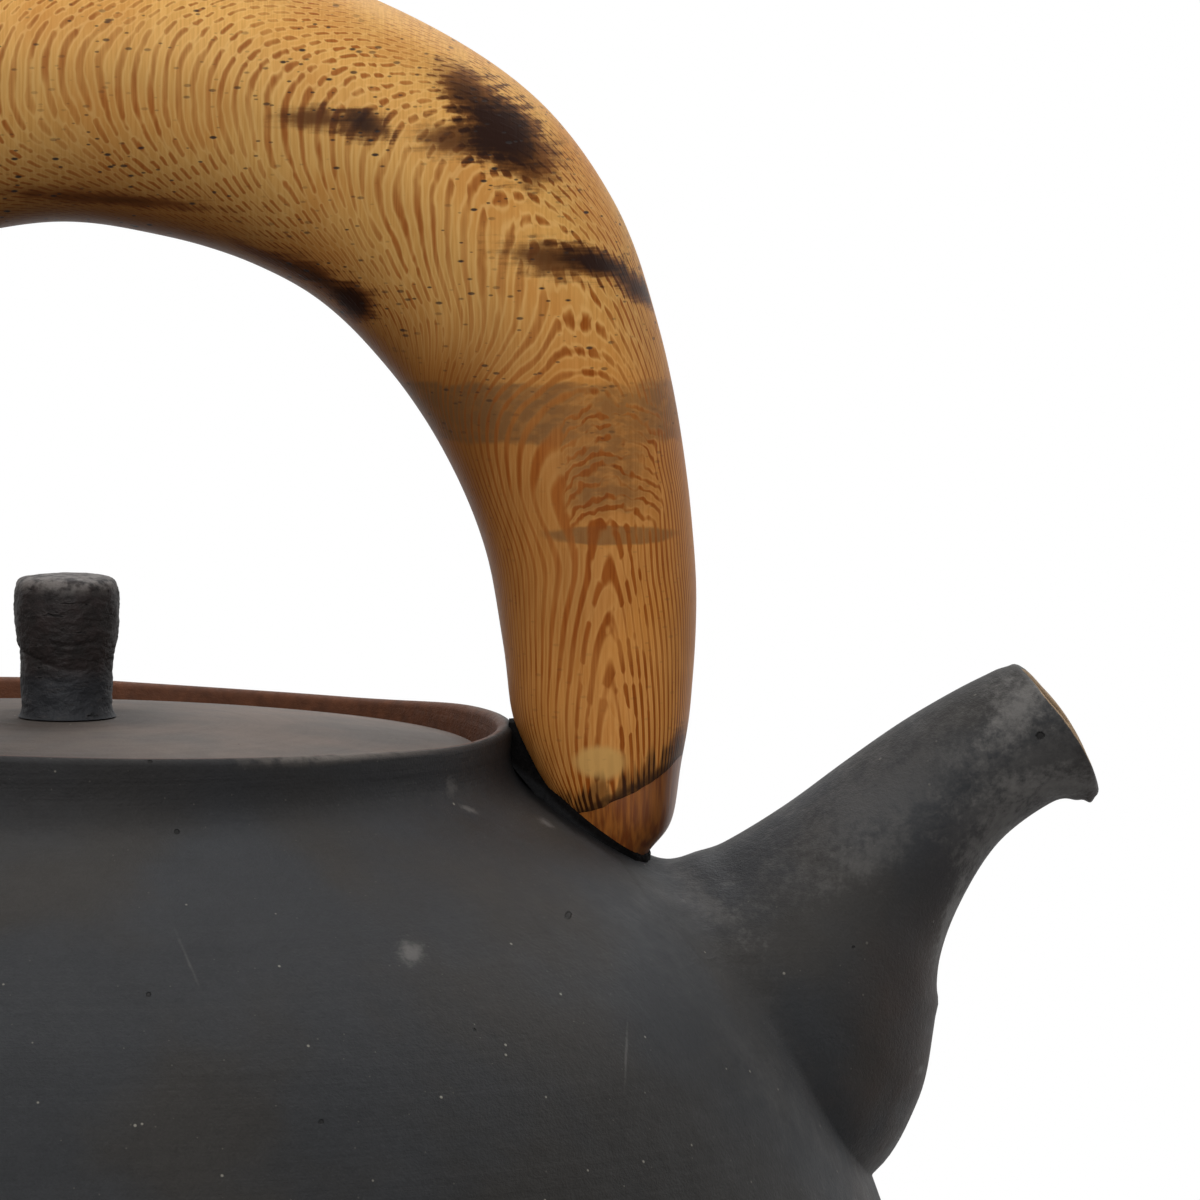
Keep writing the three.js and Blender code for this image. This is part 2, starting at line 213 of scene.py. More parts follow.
def add_object(name, data):
    thing = bpy.data.objects.new(name, data)
    bpy.context.scene.collection.objects.link(thing)
    return thing


def make_piece(name, points, faces):
    mesh = bpy.data.meshes.new(name)
    mesh.from_pydata((np.asarray(points) * MM).tolist(), [], [list(map(int, f)) for f in faces])
    outwards(mesh)
    return add_object(name, mesh)


def outwards(mesh):
    """Turns all faces outwards and smooths them, apart from sharp edges."""
    bm = bmesh.new()
    bm.from_mesh(mesh)
    bmesh.ops.recalc_face_normals(bm, faces=bm.faces)
    if bm.calc_volume(signed=True) < 0:
        bmesh.ops.reverse_faces(bm, faces=bm.faces)
    for face in bm.faces:
        face.smooth = True
    for edge in bm.edges:
        edge.smooth = not edge.is_manifold or edge.calc_face_angle(0) < SHARP_ANGLE
    bm.to_mesh(mesh)
    bm.free()


def skin(name, rings, poles=None):
    """A closed skin over rings (rows, sides, 3), with a fan to a pole at each end."""
    rows, sides, _ = rings.shape
    first, last = poles if poles is not None else (rings[0].mean(0), rings[-1].mean(0))
    points = np.vstack([rings.reshape(-1, 3), first, last])
    start = np.arange(sides)
    end = start + (rows - 1) * sides
    faces = [
        *grid_faces(rows, sides),
        *fan_faces(start, rows * sides, True),
        *fan_faces(end, rows * sides + 1, False),
    ]
    return make_piece(name, points, faces)


def revolved_rings(outline, sides):
    """Rings (rows, sides, 3) of an outline of radius and height points about the Z axis."""
    outline = np.asarray(outline, float)
    x, y = (outline[:, 0, None] * turn for turn in circle(sides))
    return np.stack([x, y, np.broadcast_to(outline[:, 1, None], x.shape)], axis=2)


def right_of(directions):
    return np.stack([directions[:, 1], -directions[:, 0]], axis=1)


def superellipse(sides, power):
    return tuple(np.sign(v) * np.abs(v) ** (2 / power) for v in circle(sides))


def cross_rings(near, far, half_width, power, sides):
    """Rings that span near to far, both points of the plane y = 0, and swell to half_width."""
    across, out = superellipse(sides, power)
    middle, reach = (near + far) / 2, (far - near) / 2
    x, z = (middle[:, k, None] + reach[:, k, None] * across for k in (0, 1))
    return np.stack([x, half_width[:, None] * out, z], axis=2)


def boolean(piece, cutter, operation="DIFFERENCE"):
    """Cuts a piece with a cutter, which is used up."""
    modifier = piece.modifiers.new("cut", "BOOLEAN")
    modifier.object = cutter
    modifier.operation = operation
    modifier.solver = "EXACT"
    graph = bpy.context.evaluated_depsgraph_get()
    result = bpy.data.meshes.new_from_object(piece.evaluated_get(graph))
    piece.modifiers.clear()
    piece.data = result
    bpy.data.objects.remove(cutter)
    outwards(result)


# Pot.


def pot_outline():
    """Outside of the pot, from the edge of the flat base up to the rim, in two parts."""
    curves = [between(a, b) for a, b in zip(POT_ANCHORS, POT_ANCHORS[1:])]
    return np.vstack([[along(POT_ANCHORS[0], 0)], *curves[:-1]]), curves[-1]


def throwing_marks(rings):
    """Small ridges that a thrower's fingers leave, which wander a little round the pot."""
    x, y, height = np.moveaxis(rings, -1, 0)
    radius = radius_of(rings)
    fine = np.stack([x / radius, y / radius, height / THROWING_MARKS["fine_rise"]], axis=-1)
    broad = fine * (0.6, 0.6, THROWING_MARKS["fine_rise"] / THROWING_MARKS["broad_rise"])
    by_spout = smooth(x, 52, 66) * (1 - smooth(np.abs(y), 38, 54)) * smooth(height, 66, 76)
    marks = THROWING_MARKS["fine"] * wobble(fine, 1, 3.1)
    marks += THROWING_MARKS["broad"] * wobble(broad, 1, 8.7)
    return marks * (1 - by_spout)


def make_vessel():
    wall, collar = pot_outline()
    half_lip, rounding = RIM["lip"] / 2, RIM["rounding"]
    turn = np.linspace(0, math.pi, 13)
    rim = np.stack(
        [
            RIM["radius"] - half_lip + half_lip * np.cos(turn),
            RIM["height"] - rounding + rounding * np.sin(turn),
        ],
        axis=1,
    )
    gallery_wall, throat, ledge = GALLERY["wall"], GALLERY["throat"], GALLERY["height"]
    gallery = [
        (gallery_wall + 0.05, ledge + 3.6),
        (gallery_wall, ledge + 1.2),
        (gallery_wall - 0.3, ledge + 0.4),
        (gallery_wall - 1, ledge),
        (throat + 0.6, ledge),
        (throat, ledge - 0.6),
        (throat, ledge - GALLERY["thickness"]),
    ]
    inside = (wall - WALL * right_of(unit(np.gradient(wall, axis=0))))[::4]
    inside[0, 1] = FLOOR
    base = [(30, 0), (60, 0), (BASE_RADIUS - 0.5, 0), (BASE_RADIUS, 0.3)]
    shell = np.vstack([wall, collar])
    outline = np.vstack([base, shell, rim, gallery, inside[::-1], [(30, FLOOR)]])
    rings = revolved_rings(outline, POT_SIDES)
    skirt = rings[len(base) : len(base) + len(shell)]
    fade = smooth(skirt[..., 2], 4, 12) * (1 - smooth(skirt[..., 2], 126, 133))
    skirt += unit(skirt * (1, 1, 0)) * (throwing_marks(skirt) * fade)[..., None]
    radius = radius_of(rings)
    lean = smooth(rings[..., 2], np.where(radius < 52.4, 128.2, 122), 133.5) * (radius > 45)
    rings[..., 2] += lean * rim_warp(rings)
    piece = skin("vessel_shell", rings, [(0, 0, 0), (0, 0, FLOOR)])
    boolean(piece, strainer_pins())
    return piece


def rim_warp(points):
    """How far the hand-thrown rim rises or dips."""
    angle = np.degrees(np.arctan2(points[..., 1], points[..., 0]))
    places, rises = np.array(RIM_RISE).T
    turns = np.linspace(-8, 8, 7)
    near = [np.interp((angle + turn + 180) % 360 - 180, places, rises) for turn in turns]
    return np.mean(near, axis=0)


def strainer_pins():
    """The holes of the strainer, as pins that stand through the pot's wall."""
    tilt, sides = math.radians(STRAINER["tilt"]), STRAINER["sides"]
    axis = np.array([math.cos(tilt), 0, math.sin(tilt)])
    up = np.array([-math.sin(tilt), 0, math.cos(tilt)])
    side = np.array([0, 1, 0])
    cos, sin = circle(sides)
    outline = STRAINER["hole"] * (cos[:, None] * up + sin[:, None] * side)
    centre = np.array([STRAINER["radius"], 0, STRAINER["height"]])
    points, faces = [], []
    for distance, count in STRAINER_RINGS:
        for k in range(count):
            turn = TAU * k / count
            place = centre + distance * (math.cos(turn) * up + math.sin(turn) * side) + outline
            start = len(points)
            points += [*(place - STRAINER["reach"] * axis), *(place + STRAINER["reach"] * axis)]
            near, far = np.arange(start, start + sides), np.arange(start + sides, start + 2 * sides)
            next_near, next_far = np.roll(near, -1), np.roll(far, -1)
            faces += [near[::-1], far, *np.stack([near, next_near, next_far, far], axis=1)]
    return make_piece("pins", points, faces)


def pot_distance(points):
    """Signed distance from the pot's outside, and the outward direction there."""
    line = np.vstack(pot_outline())
    flat = points.reshape(-1, 3)
    place = np.stack([radius_of(flat), flat[:, 2]], axis=1)
    start, step = line[:-1], np.diff(line, axis=0)
    t = ((place[:, None] - start) * step).sum(2) / (step**2).sum(1)
    nearest = start + np.clip(t, 0, 1)[..., None] * step
    best = np.linalg.norm(place[:, None] - nearest, axis=2).argmin(1)
    away = right_of(unit(step[best]))
    signed = ((place - nearest[np.arange(len(flat)), best]) * away).sum(1)
    normal = unit(flat * (1, 1, 0)) * away[:, :1] + np.array([0, 0, 1]) * away[:, 1:]
    return signed.reshape(points.shape[:-1]), normal.reshape(points.shape)


# Spout.


def spout_rings(t, inset=0.0):
    near, far = spline(SPOUT_UPPER, t), spline(SPOUT_LOWER, t)
    thickness = inset * (SPOUT_WALL[0] + (SPOUT_WALL[1] - SPOUT_WALL[0]) * t)
    across = unit(far - near) * thickness[:, None]
    half_width = spline(SPOUT_HALF_WIDTH, t) - thickness
    rings = cross_rings(near + across, far - across, half_width, 2, SPOUT_SIDES)
    lean = MOUTH["crown"] * t[:, None] ** 4 * circle(SPOUT_SIDES)[1] ** 2
    return rings + lean[..., None] * mouth_axis()


def mouth_axis():
    """The direction that the mouth faces."""
    heading = math.radians(MOUTH["heading"])
    return np.array([math.cos(heading), 0, math.sin(heading)])


def rows_at(rings, t, wanted):
    """Points of each lengthwise line of a dense stack of rings at its own wanted t."""
    columns = np.arange(rings.shape[1])
    place = np.clip(wanted, t[0], t[-1]) / t[-1] * (len(t) - 1)
    i = np.minimum(place.astype(int), len(t) - 2)
    w = (place - i)[..., None]
    return rings[i, columns] * (1 - w) + rings[i + 1, columns] * w


def last_crossing(distance, level, t):
    """For each line, the t at which its distance rises above a level for the last time."""
    below = distance < level
    i = len(t) - 2 - np.argmax(below[::-1][1:], axis=0)
    columns = np.arange(distance.shape[1])
    low, high = distance[i, columns], distance[i + 1, columns]
    return t[i] + (level - low) / (high - low) * (t[1] - t[0])


def off_normal(vectors, normal):
    """Directions of vectors once their part along the normal is taken out."""
    return unit(vectors - (vectors * normal).sum(1, keepdims=True) * normal)


def make_spout():
    t = np.linspace(0, 1, 901)
    dense, channel = spout_rings(t), spout_rings(t, inset=1.0)
    distance = pot_distance(dense)[0]
    foot_t = last_crossing(distance, 0.0, t)
    foot = rows_at(dense, t, foot_t)
    grown = smooth(foot[:, 2], FILLET["low"], FILLET["high"])
    fillet = FILLET["least"] + FILLET["growth"] * grown
    start_t = last_crossing(distance, FILLET["start"] * fillet, t)
    start = rows_at(dense, t, start_t)
    before = rows_at(dense, t, start_t + 0.004)
    outward = off_normal(foot - dense[t.searchsorted(foot_t)].mean(1), pot_distance(foot)[1])
    reach_out = (FILLET["reach"] * fillet)[:, None]
    skirt = foot + outward * reach_out
    gap, normal = pot_distance(skirt)
    skirt -= normal * gap[:, None]
    leaving = start + unit(start - before) * np.linalg.norm(foot - start, axis=1)[:, None] * 0.75
    arriving = skirt + off_normal(unit(foot - skirt), normal) * reach_out * 0.7
    u = np.linspace(0, 1, 17)[1:, None, None]
    blend = bezier(start, leaving, arriving, skirt, u)
    buried = [skirt + outward * out - normal * down for out, down in BURIED]
    outer_t = start_t + (1 - start_t) * np.linspace(0, 1, 90)[:, None] ** 0.9
    outer = add_lip(rows_at(dense, t, outer_t))
    inner_foot = last_crossing(pot_distance(channel)[0], -0.3, t)
    inner_t = inner_foot + (1 - inner_foot) * np.linspace(0, 1, 50)[:, None]
    inner = rows_at(channel, t, inner_t)
    axis = mouth_axis()
    downwards = circle(SPOUT_SIDES)[0]
    soft = smooth(np.abs(downwards), 0.4, 1)
    rounding = MOUTH["rounding"] + MOUTH["softer"] * soft
    pull = MOUTH["rounding"] + MOUTH["softer"] * soft * (downwards > 0)
    outer -= axis * (pull * smooth(outer_t, 0.8, 1))[..., None]
    inner -= axis * (pull * smooth(inner_t, 0.8, 1))[..., None]
    turn = np.linspace(0, math.pi, 11)[1:-1, None]
    shape = 0.6 + 0.4 * soft
    across = (1 - np.sign(np.cos(turn)) * np.abs(np.cos(turn)) ** shape) / 2
    proud = rounding * np.sin(turn) ** shape
    lip = outer[-1] + (inner[-1] - outer[-1]) * across[..., None] + axis * proud[..., None]
    rings = np.vstack([buried[::-1], blend[::-1], outer[1:], lip, inner[::-1]])
    drift = wobble(rings, 14, 5.5) * smooth(pot_distance(rings)[0], 6, 14)
    rings += drift[..., None] * (0, 0.4, 0.15)
    faces = grid_faces(len(rings), SPOUT_SIDES, closed_rows=True)
    piece = make_piece("spout_body", rings.reshape(-1, 3), faces)
    lip_start = len(buried) + len(blend) + len(outer) - 1
    bare = np.zeros(rings.shape[:2])
    round_lip = np.linspace(0, 1, len(lip))[:, None]
    bare[lip_start : lip_start + len(lip)] = smooth(round_lip - 0.4 * soft, 0.02, 0.22)
    attribute = piece.data.attributes.new("bare", "FLOAT", "POINT")
    attribute.data.foreach_set("value", bare.ravel())
    return piece


def add_lip(rings):
    """The small drooping bead under the lower lip of the mouth, and a nub of clay lower down."""
    gap = np.linalg.norm(rings - rings[-1], axis=2)
    under = smooth(-unit(rings - rings.mean(1, keepdims=True))[..., 2], 0.45, 0.95)
    side = hump(rings[..., 1], 0, 4.5)
    bead = hump(gap, BEAD["gap"], BEAD["width"]) * under * side
    below = smooth(rings[..., 0], 101, 104) * side
    nub = hump(rings[..., 2], NUB["height"], NUB["width"]) * below
    rings[..., 2] -= BEAD["droop"] * bead
    rings[..., 0] += BEAD["out"] * bead + NUB["out"] * nub
    return rings


# Lid and knob.


def lid_top(radius):
    return LID["crown_top"] - (LID["crown_top"] - LID["edge_top"]) * (radius / LID["radius"]) ** 2


def make_lid():
    seat, edge, thickness = LID["seat"], LID["radius"], LID["thickness"]
    inner, outer, flange_foot = FLANGE["inner"], FLANGE["outer"], seat - FLANGE["depth"]
    vault = [(r, lid_top(r) - thickness) for r in (10, 20, 30, inner)]
    under = [
        (inner, flange_foot + 1),
        (inner + 0.8, flange_foot),
        (outer - 1, flange_foot),
        (outer, flange_foot + 1.5),
        (outer, seat),
        (edge - 1, seat),
        (edge, seat + 1),
        (edge, lid_top(edge) - LID_EDGE),
    ]
    corner = edge - LID_EDGE
    rounding = [
        (corner + LID_EDGE * math.cos(a), lid_top(corner) - LID_EDGE + LID_EDGE * math.sin(a))
        for a in np.linspace(0.2, math.pi / 2, 6)
    ]
    radii = np.linspace(edge - 1.6, 0.8, 120)
    spiral = 0.02 * np.sin(radii * 2.1) + 0.015 * np.sin(radii * 5.3 + 1)
    top = np.stack([radii, lid_top(radii) - 0.12 * hump(radii, 10.3, 0.5) + spiral], axis=1)
    rings = revolved_rings(np.vstack([vault, under, rounding, top]), LID_SIDES)
    slanted = smooth(rings[..., 2], 128.4, 130.5) * smooth(radius_of(rings), 12, 30)
    rings[..., 2] -= LID_SLANT * rings[..., 0] * slanted
    piece = skin("lid_disc", rings, [(0, 0, lid_top(0) - thickness), (0, 0, lid_top(0))])
    boolean(piece, upright_pin(VENT))
    return piece


def make_knob():
    base = KNOB["base"]
    outline = spline(KNOB_OUTLINE, np.linspace(0, 1, KNOB["rows"])) + (0, base)
    rings = revolved_rings(outline, KNOB["sides"])
    height = rings[..., 2] - base
    rough = 0.16 * wobble(rings, 2.2, 1.3) + 0.09 * wobble(rings * (1, 1, 2.2), 0.9, 4.2)
    rough += 0.22 * wobble(rings, 11, 7.7) - 0.12
    for level, depth in KNOB_CREASES:
        broken = smooth(wobble(rings, 4, level + 2), -0.4, 0.3)
        rough -= depth * broken * hump(height - 1.6 * wobble(rings, 7, level), level, 0.4)
    rings += unit(rings * (1, 1, 0)) * (rough * smooth(height, 0.1, 1.5))[..., None]
    rings[..., 2] += 0.1 * wobble(rings, 2.4, 9.2) * smooth(height, 15, 16.5)
    rings[..., 2] = np.minimum(rings[..., 2], KNOB["top"])
    return skin("knob_body", rings, [(0, 0, base), (0, 0, base + KNOB["pole"])])


# Handle.


def mirrored(values, turned):
    """Values from the rear foot over the crown to the front foot."""
    values = np.asarray(values, float)
    return np.concatenate([values[:0:-1] * turned, values])


def handle_rings(t):
    """Rings of the handle, with slight flats and hollows from carving that only take wood away."""
    inner, outer = (spline(mirrored(e, (-1, 1)), t) for e in (HANDLE_INNER, HANDLE_OUTER))
    depth = spline(mirrored(HANDLE_HALF_DEPTH, 1), t)
    rings = cross_rings(outer, inner, depth, HANDLE_POWER, HANDLE_SIDES)
    inwards = unit(rings.mean(1, keepdims=True) - rings)
    broad = 0.22 * (1 + wobble(rings, 17, 2.9)) + 0.08 * (1 + wobble(rings, 6, 6.1))
    return rings + inwards * (0.25 * broad)[..., None]


def foot_rings(side, start, steps):
    """Rings of one leg of the handle, from t = start down to the foot."""
    t = np.linspace(start, 1, steps)
    return handle_rings(t if side > 0 else 1 - t)


def seat_height(radius):
    """Height of the surface that the feet are scribed to, which flattens beside the collar."""
    cone = SEAT["height"] - SEAT["fall"] * (radius - SEAT["radius"])
    return cone - SEAT["hollow"] * (1 - smooth(radius, 55, 60.5))


def seat_cutter():
    """Everything below the surface that the feet are scribed to."""
    outer, bottom = SEAT_CUTTER["outer"], SEAT_CUTTER["bottom"]
    radii = np.linspace(SEAT_CUTTER["inner"], outer, SEAT_CUTTER["rows"])
    heights = seat_height(radii)
    outline = [(outer, bottom), *zip(radii[::-1], heights[::-1])]
    rings = revolved_rings(outline, SEAT_CUTTER["sides"])
    return skin("seat", rings, [(0, 0, bottom), (0, 0, heights[0])])


def joint_cutter(side, drop):
    """Everything below the toe's wavy joint, lowered by a drop."""
    (x0, z0), (x1, z1) = TOE_JOINT
    columns, rows = 81, 61
    count = rows * columns
    x, y = np.meshgrid(np.linspace(56, 80, columns), np.linspace(-18, 18, rows))
    flat = np.stack([x, y, 0 * x], axis=2)
    sag = JOINT_SAG * np.sin(np.pi * np.clip((x - x0) / (x1 - x0), 0, 1))
    waves = 0.35 * wobble(flat, 3.2, 4.4) + 0.12 * wobble(flat, 1.1, 9.9)
    z = z0 + (z1 - z0) / (x1 - x0) * (x - x0) - sag - drop + waves
    top = np.stack([x * side, y, z], axis=2).reshape(-1, 3)
    bottom = top * (1, 1, 0) + (0, 0, 100)
    faces = []
    for a in np.arange(count).reshape(rows, columns)[:-1, :-1].ravel():
        quad = np.array([a, a + 1, a + columns + 1, a + columns])
        faces += [quad, quad[::-1] + count]
    edge = [*range(columns), *range(2 * columns - 1, count, columns)]
    edge += [*range(count - 2, count - columns - 1, -1), *range(count - 2 * columns, 0, -columns)]
    faces += [[b, a, a + count, b + count] for a, b in zip(edge, edge[1:] + edge[:1])]
    return make_piece("joint", np.vstack([top, bottom]), faces)


def upright_pin(pin, side=1):
    """A cutter for a round hole, offset along X to one side."""
    outline = [(pin["radius"], pin["bottom"]), (pin["radius"], pin["top"])]
    return skin("pin", revolved_rings(outline, pin["sides"]) + (pin["offset"] * side, 0, 0))


def make_handle():
    piece = skin("handle_arch", handle_rings(np.linspace(0, 1, HANDLE_ROWS)))
    boolean(piece, seat_cutter())
    for side in (1, -1):
        boolean(piece, joint_cutter(side, -JOINT_GAP / 2))
        boolean(piece, upright_pin(LUG, side))
    return piece


def make_toe(name, side):
    piece = skin(name, foot_rings(side, *TOE_ROWS))
    boolean(piece, seat_cutter())
    boolean(piece, joint_cutter(side, JOINT_GAP / 2), "INTERSECT")
    boolean(piece, upright_pin(LUG, side))
    return piece


def make_bed(name, side):
    """Bedding between the scribed foot and the shoulder, squeezed out a little all round."""
    rings = foot_rings(side, *BED_ROWS)
    above = rings[..., 2] - seat_height(radius_of(rings))
    foot_row = np.argmax(above < 0, axis=0)
    columns = np.arange(HANDLE_SIDES)
    foot = rings[foot_row, columns]
    centre = foot.mean(0)
    out = unit((foot - centre) * (1, 1, 0))
    by_collar = smooth(-side * out[:, 0], 0.78, 0.94)
    by_tip = smooth(side * foot[:, 0], 67.5, 70)
    lumps = np.clip(wobble(foot, 1.8, 3.3) + 0.7 * wobble(foot, 0.7, 6.6), -0.5, 1)
    climb = 0.1 + 0.2 * np.clip(lumps, 0, 1) + 7.2 * by_collar + 0.1 * by_tip
    spread = -0.35 + 0.2 * (lumps + 0.5) + 1.5 * by_tip
    climbed = np.argmax((rings[..., 2] - foot[:, 2]) < climb, axis=0)
    edge = rings[np.minimum(climbed, foot_row), columns] - out * 0.12
    across_slot = (edge - foot) * by_collar[:, None]
    bottom = on_pot(foot + out * spread[:, None] + across_slot)
    rows = [scribed(centre + (foot - centre) * s) for s in (0.35, 0.7, 0.97)]
    bulge = (0.1 + 0.2 * lumps + 0.1 * by_tip) * (1 - by_collar)
    for step in np.linspace(0, 1, 9):
        swell = math.sin(math.pi * step)
        row = edge * (1 - step) + bottom * step + out * (bulge * swell)[:, None]
        rough = 0.16 * wobble(row, 0.6, 2.2) * swell * (1 + 1.4 * by_tip)
        rows.append(row + out * rough[:, None])
    rows += [on_pot(centre + (bottom - centre) * s) for s in (0.9, 0.8, 0.65, 0.4)]
    piece = skin(name, np.stack(rows))
    boolean(piece, upright_pin(LUG, side))
    return piece


def on_pot(points):
    """Points moved to just under the pot's outside."""
    gap, normal = pot_distance(points)
    return points - normal * (gap + 0.2)[..., None]


def scribed(points):
    """Points moved to just under the surface that the feet are scribed to."""
    height = seat_height(radius_of(points)) - 0.05
    return np.concatenate([points[..., :2], height[..., None]], axis=-1)


# How each visible piece is made, its body, the node that it replaces and its slot.
PIECES = [
    (make_vessel, "kettle", "vessel", "dark_stoneware"),
    (make_spout, "kettle", "spout", "dark_stoneware"),
    (make_lid, "lid", "lid", "lid_stoneware"),
    (make_knob, "lid", "lid_knob", "knob_stoneware"),
    (make_handle, "kettle", "handle", "figured_wood"),
    (lambda: make_toe("toe_front", 1), "kettle", "front_toe", "toe_wood"),
    (lambda: make_toe("toe_rear", -1), "kettle", "rear_toe", "toe_wood"),
    (lambda: make_bed("bedding_front", 1), "kettle", "front_bed", "black_bedding"),
    (lambda: make_bed("bedding_rear", -1), "kettle", "rear_bed", "black_bedding"),
]


# Materials. Colours are written as sRGB from 0 to 255, and places in millimetres.


def srgb(*channels):
    """Linear colour from red, green and blue of 0 to 255."""
    shares = [c / 255 for c in channels]
    return (*(c / 12.92 if c <= 0.04045 else ((c + 0.055) / 1.055) ** 2.4 for c in shares), 1)


class Value:
    """A number or a colour that nodes work out at each place, with a plain number's sums."""

    def __init__(self, nodes, socket):
        self.nodes = nodes
        self.socket = socket

    def __add__(self, other):
        return self.nodes.math("ADD", self, other)

    def __sub__(self, other):
        return self.nodes.math("SUBTRACT", self, other)

    def __rsub__(self, other):
        return self.nodes.math("SUBTRACT", other, self)

    def __mul__(self, other):
        return self.nodes.math("MULTIPLY", self, other)

    def __truediv__(self, other):
        return self.nodes.math("DIVIDE", self, other)

    def __abs__(self):
        return self.nodes.math("ABSOLUTE", self)

    __radd__ = __add__
    __rmul__ = __mul__

    def step(self, low, high):
        """0 at low, 1 at high, with soft ends. low may be the larger one."""
        inputs = {"Value": self, "From Min": low, "From Max": high}
        return self.nodes.value("ShaderNodeMapRange", inputs, interpolation_type="SMOOTHSTEP")

    def centred(self, amount):
        """A 0 to 1 value spread evenly about zero, amount wide."""
        return self.nodes.math("MULTIPLY_ADD", self, amount, -amount / 2)


class Nodes:
    """Makes the nodes of one node tree. Inputs are Values, sockets, plain numbers or tuples, and
    a colour is sRGB from 0 to 255 when it has three numbers, and linear when it has four."""

    def __init__(self, tree):
        self.tree = tree

    def feed(self, socket, value):
        value = getattr(value, "socket", value)
        if isinstance(value, bpy.types.NodeSocket):
            self.tree.links.new(value, socket)
        elif socket.type == "RGBA" and len(value) == 3:
            socket.default_value = srgb(*value)
        else:
            socket.default_value = value

    def node(self, kind, inputs=(), **settings):
        node = self.tree.nodes.new(kind)
        for key, value in settings.items():
            setattr(node, key, value)
        for key, value in dict(inputs).items():
            self.feed(node.inputs[key], value)
        return node

    def value(self, kind, inputs=(), output=0, **settings):
        return Value(self, self.node(kind, inputs, **settings).outputs[output])

    def math(self, operation, *values):
        return self.value("ShaderNodeMath", enumerate(values), operation=operation)

    def vector(self, operation, *values, output="Vector"):
        return self.value("ShaderNodeVectorMath", enumerate(values), output, operation=operation)

    def length(self, vector):
        return self.vector("LENGTH", vector, output="Value")

    def mix(self, factor, a, b, blend="MIX"):
        inputs = {0: factor, 6: a, 7: b}
        return self.value("ShaderNodeMix", inputs, 2, data_type="RGBA", blend_type=blend)

    def seen(self):
        """1 for the camera and for reflections, 0 for all other light."""
        rays = self.node("ShaderNodeLightPath").outputs
        return self.math("MAXIMUM", rays["Is Camera Ray"], rays["Is Glossy Ray"])


class Paint(Nodes):
    """The nodes of one material of the kettle, and the place in millimetres."""

    def __init__(self, name, roughness, specular):
        self.material = bpy.data.materials.new(name)
        self.material.use_nodes = True
        super().__init__(self.material.node_tree)
        self.shader = self.tree.nodes["Principled BSDF"].inputs
        self.shader["Roughness"].default_value = roughness
        self.shader["Specular IOR Level"].default_value = specular
        metres = self.value("ShaderNodeTexCoord", output="Object")
        self.place = self.vector("MULTIPLY", metres, (1 / MM, 1 / MM, 1 / MM))
        split = self.node("ShaderNodeSeparateXYZ", {0: self.place})
        self.x, self.y, self.z = (Value(self, socket) for socket in split.outputs)

    def at(self, x, y, z):
        return self.value("ShaderNodeCombineXYZ", {0: x, 1: y, 2: z})

    def radius(self):
        return self.length(self.vector("MULTIPLY", self.place, (1, 1, 0)))

    def in_cells(self, size, seed, place=None):
        """The place counted in cells of a size, or of three by axis, and moved by a seed."""
        scale = tuple(1 / s for s in (size if isinstance(size, tuple) else (size, size, size)))
        return self.vector("MULTIPLY_ADD", place or self.place, scale, (seed, seed, seed))

    def noise(self, size, detail=2, roughness=0.5, place=None, seed=0.0):
        """Noise from 0 to 1 with features of a size, or of three sizes along the axes."""
        inputs = {"Vector": self.in_cells(size, seed, place), "Scale": 1.0}
        inputs |= {"Detail": detail, "Roughness": roughness}
        return self.value("ShaderNodeTexNoise", inputs, "Fac")

    def dots(self, spacing, radius, share, seed=0.0):
        """Small spots, one in some of the cells of a lattice. spacing may differ by axis."""
        inputs = {"Vector": self.in_cells(spacing, seed), "Scale": 1.0}
        cells = self.node("ShaderNodeTexVoronoi", inputs).outputs
        chance = self.value("ShaderNodeSeparateColor", {0: cells["Color"]})
        spots = Value(self, cells["Distance"]).step(radius, radius * 0.5)
        return spots * self.math("LESS_THAN", chance, share)

    def spot(self, centre, reach, angle, place):
        """Distance from a spot of the x-z plane, turned clockwise: 0 at its centre, 1 at its edge."""
        moved = self.vector("SUBTRACT", place, (centre[0], 0, centre[1]))
        inputs = {"Vector": moved, "Angle": -math.radians(angle)}
        turned = self.value("ShaderNodeVectorRotate", inputs, rotation_type="Y_AXIS")
        return self.length(self.vector("MULTIPLY", turned, (1 / reach[0], 0, 1 / reach[1])))

    def two_faced(self):
        """The place with the far side given the near side's x mirrored, so marks differ there."""
        return self.at(self.x * self.math("SIGN", self.y) * -1.0, self.y, self.z)

    def shade(self, colour, amount):
        """A colour times a grey amount."""
        grey = self.value("ShaderNodeCombineColor", {0: amount, 1: amount, 2: amount})
        return self.mix(1.0, colour, grey, "MULTIPLY")

    def finish(self, colour, relief, roughness=None, proud=1.0):
        """The material. A relief of 1 stands proud by the given distance."""
        bump = {"Height": relief, "Distance": proud * MM, "Strength": 1.0}
        self.feed(self.shader["Base Color"], colour)
        self.feed(self.shader["Normal"], self.value("ShaderNodeBump", bump))
        if roughness is not None:
            self.feed(self.shader["Roughness"], roughness)
        return self.material


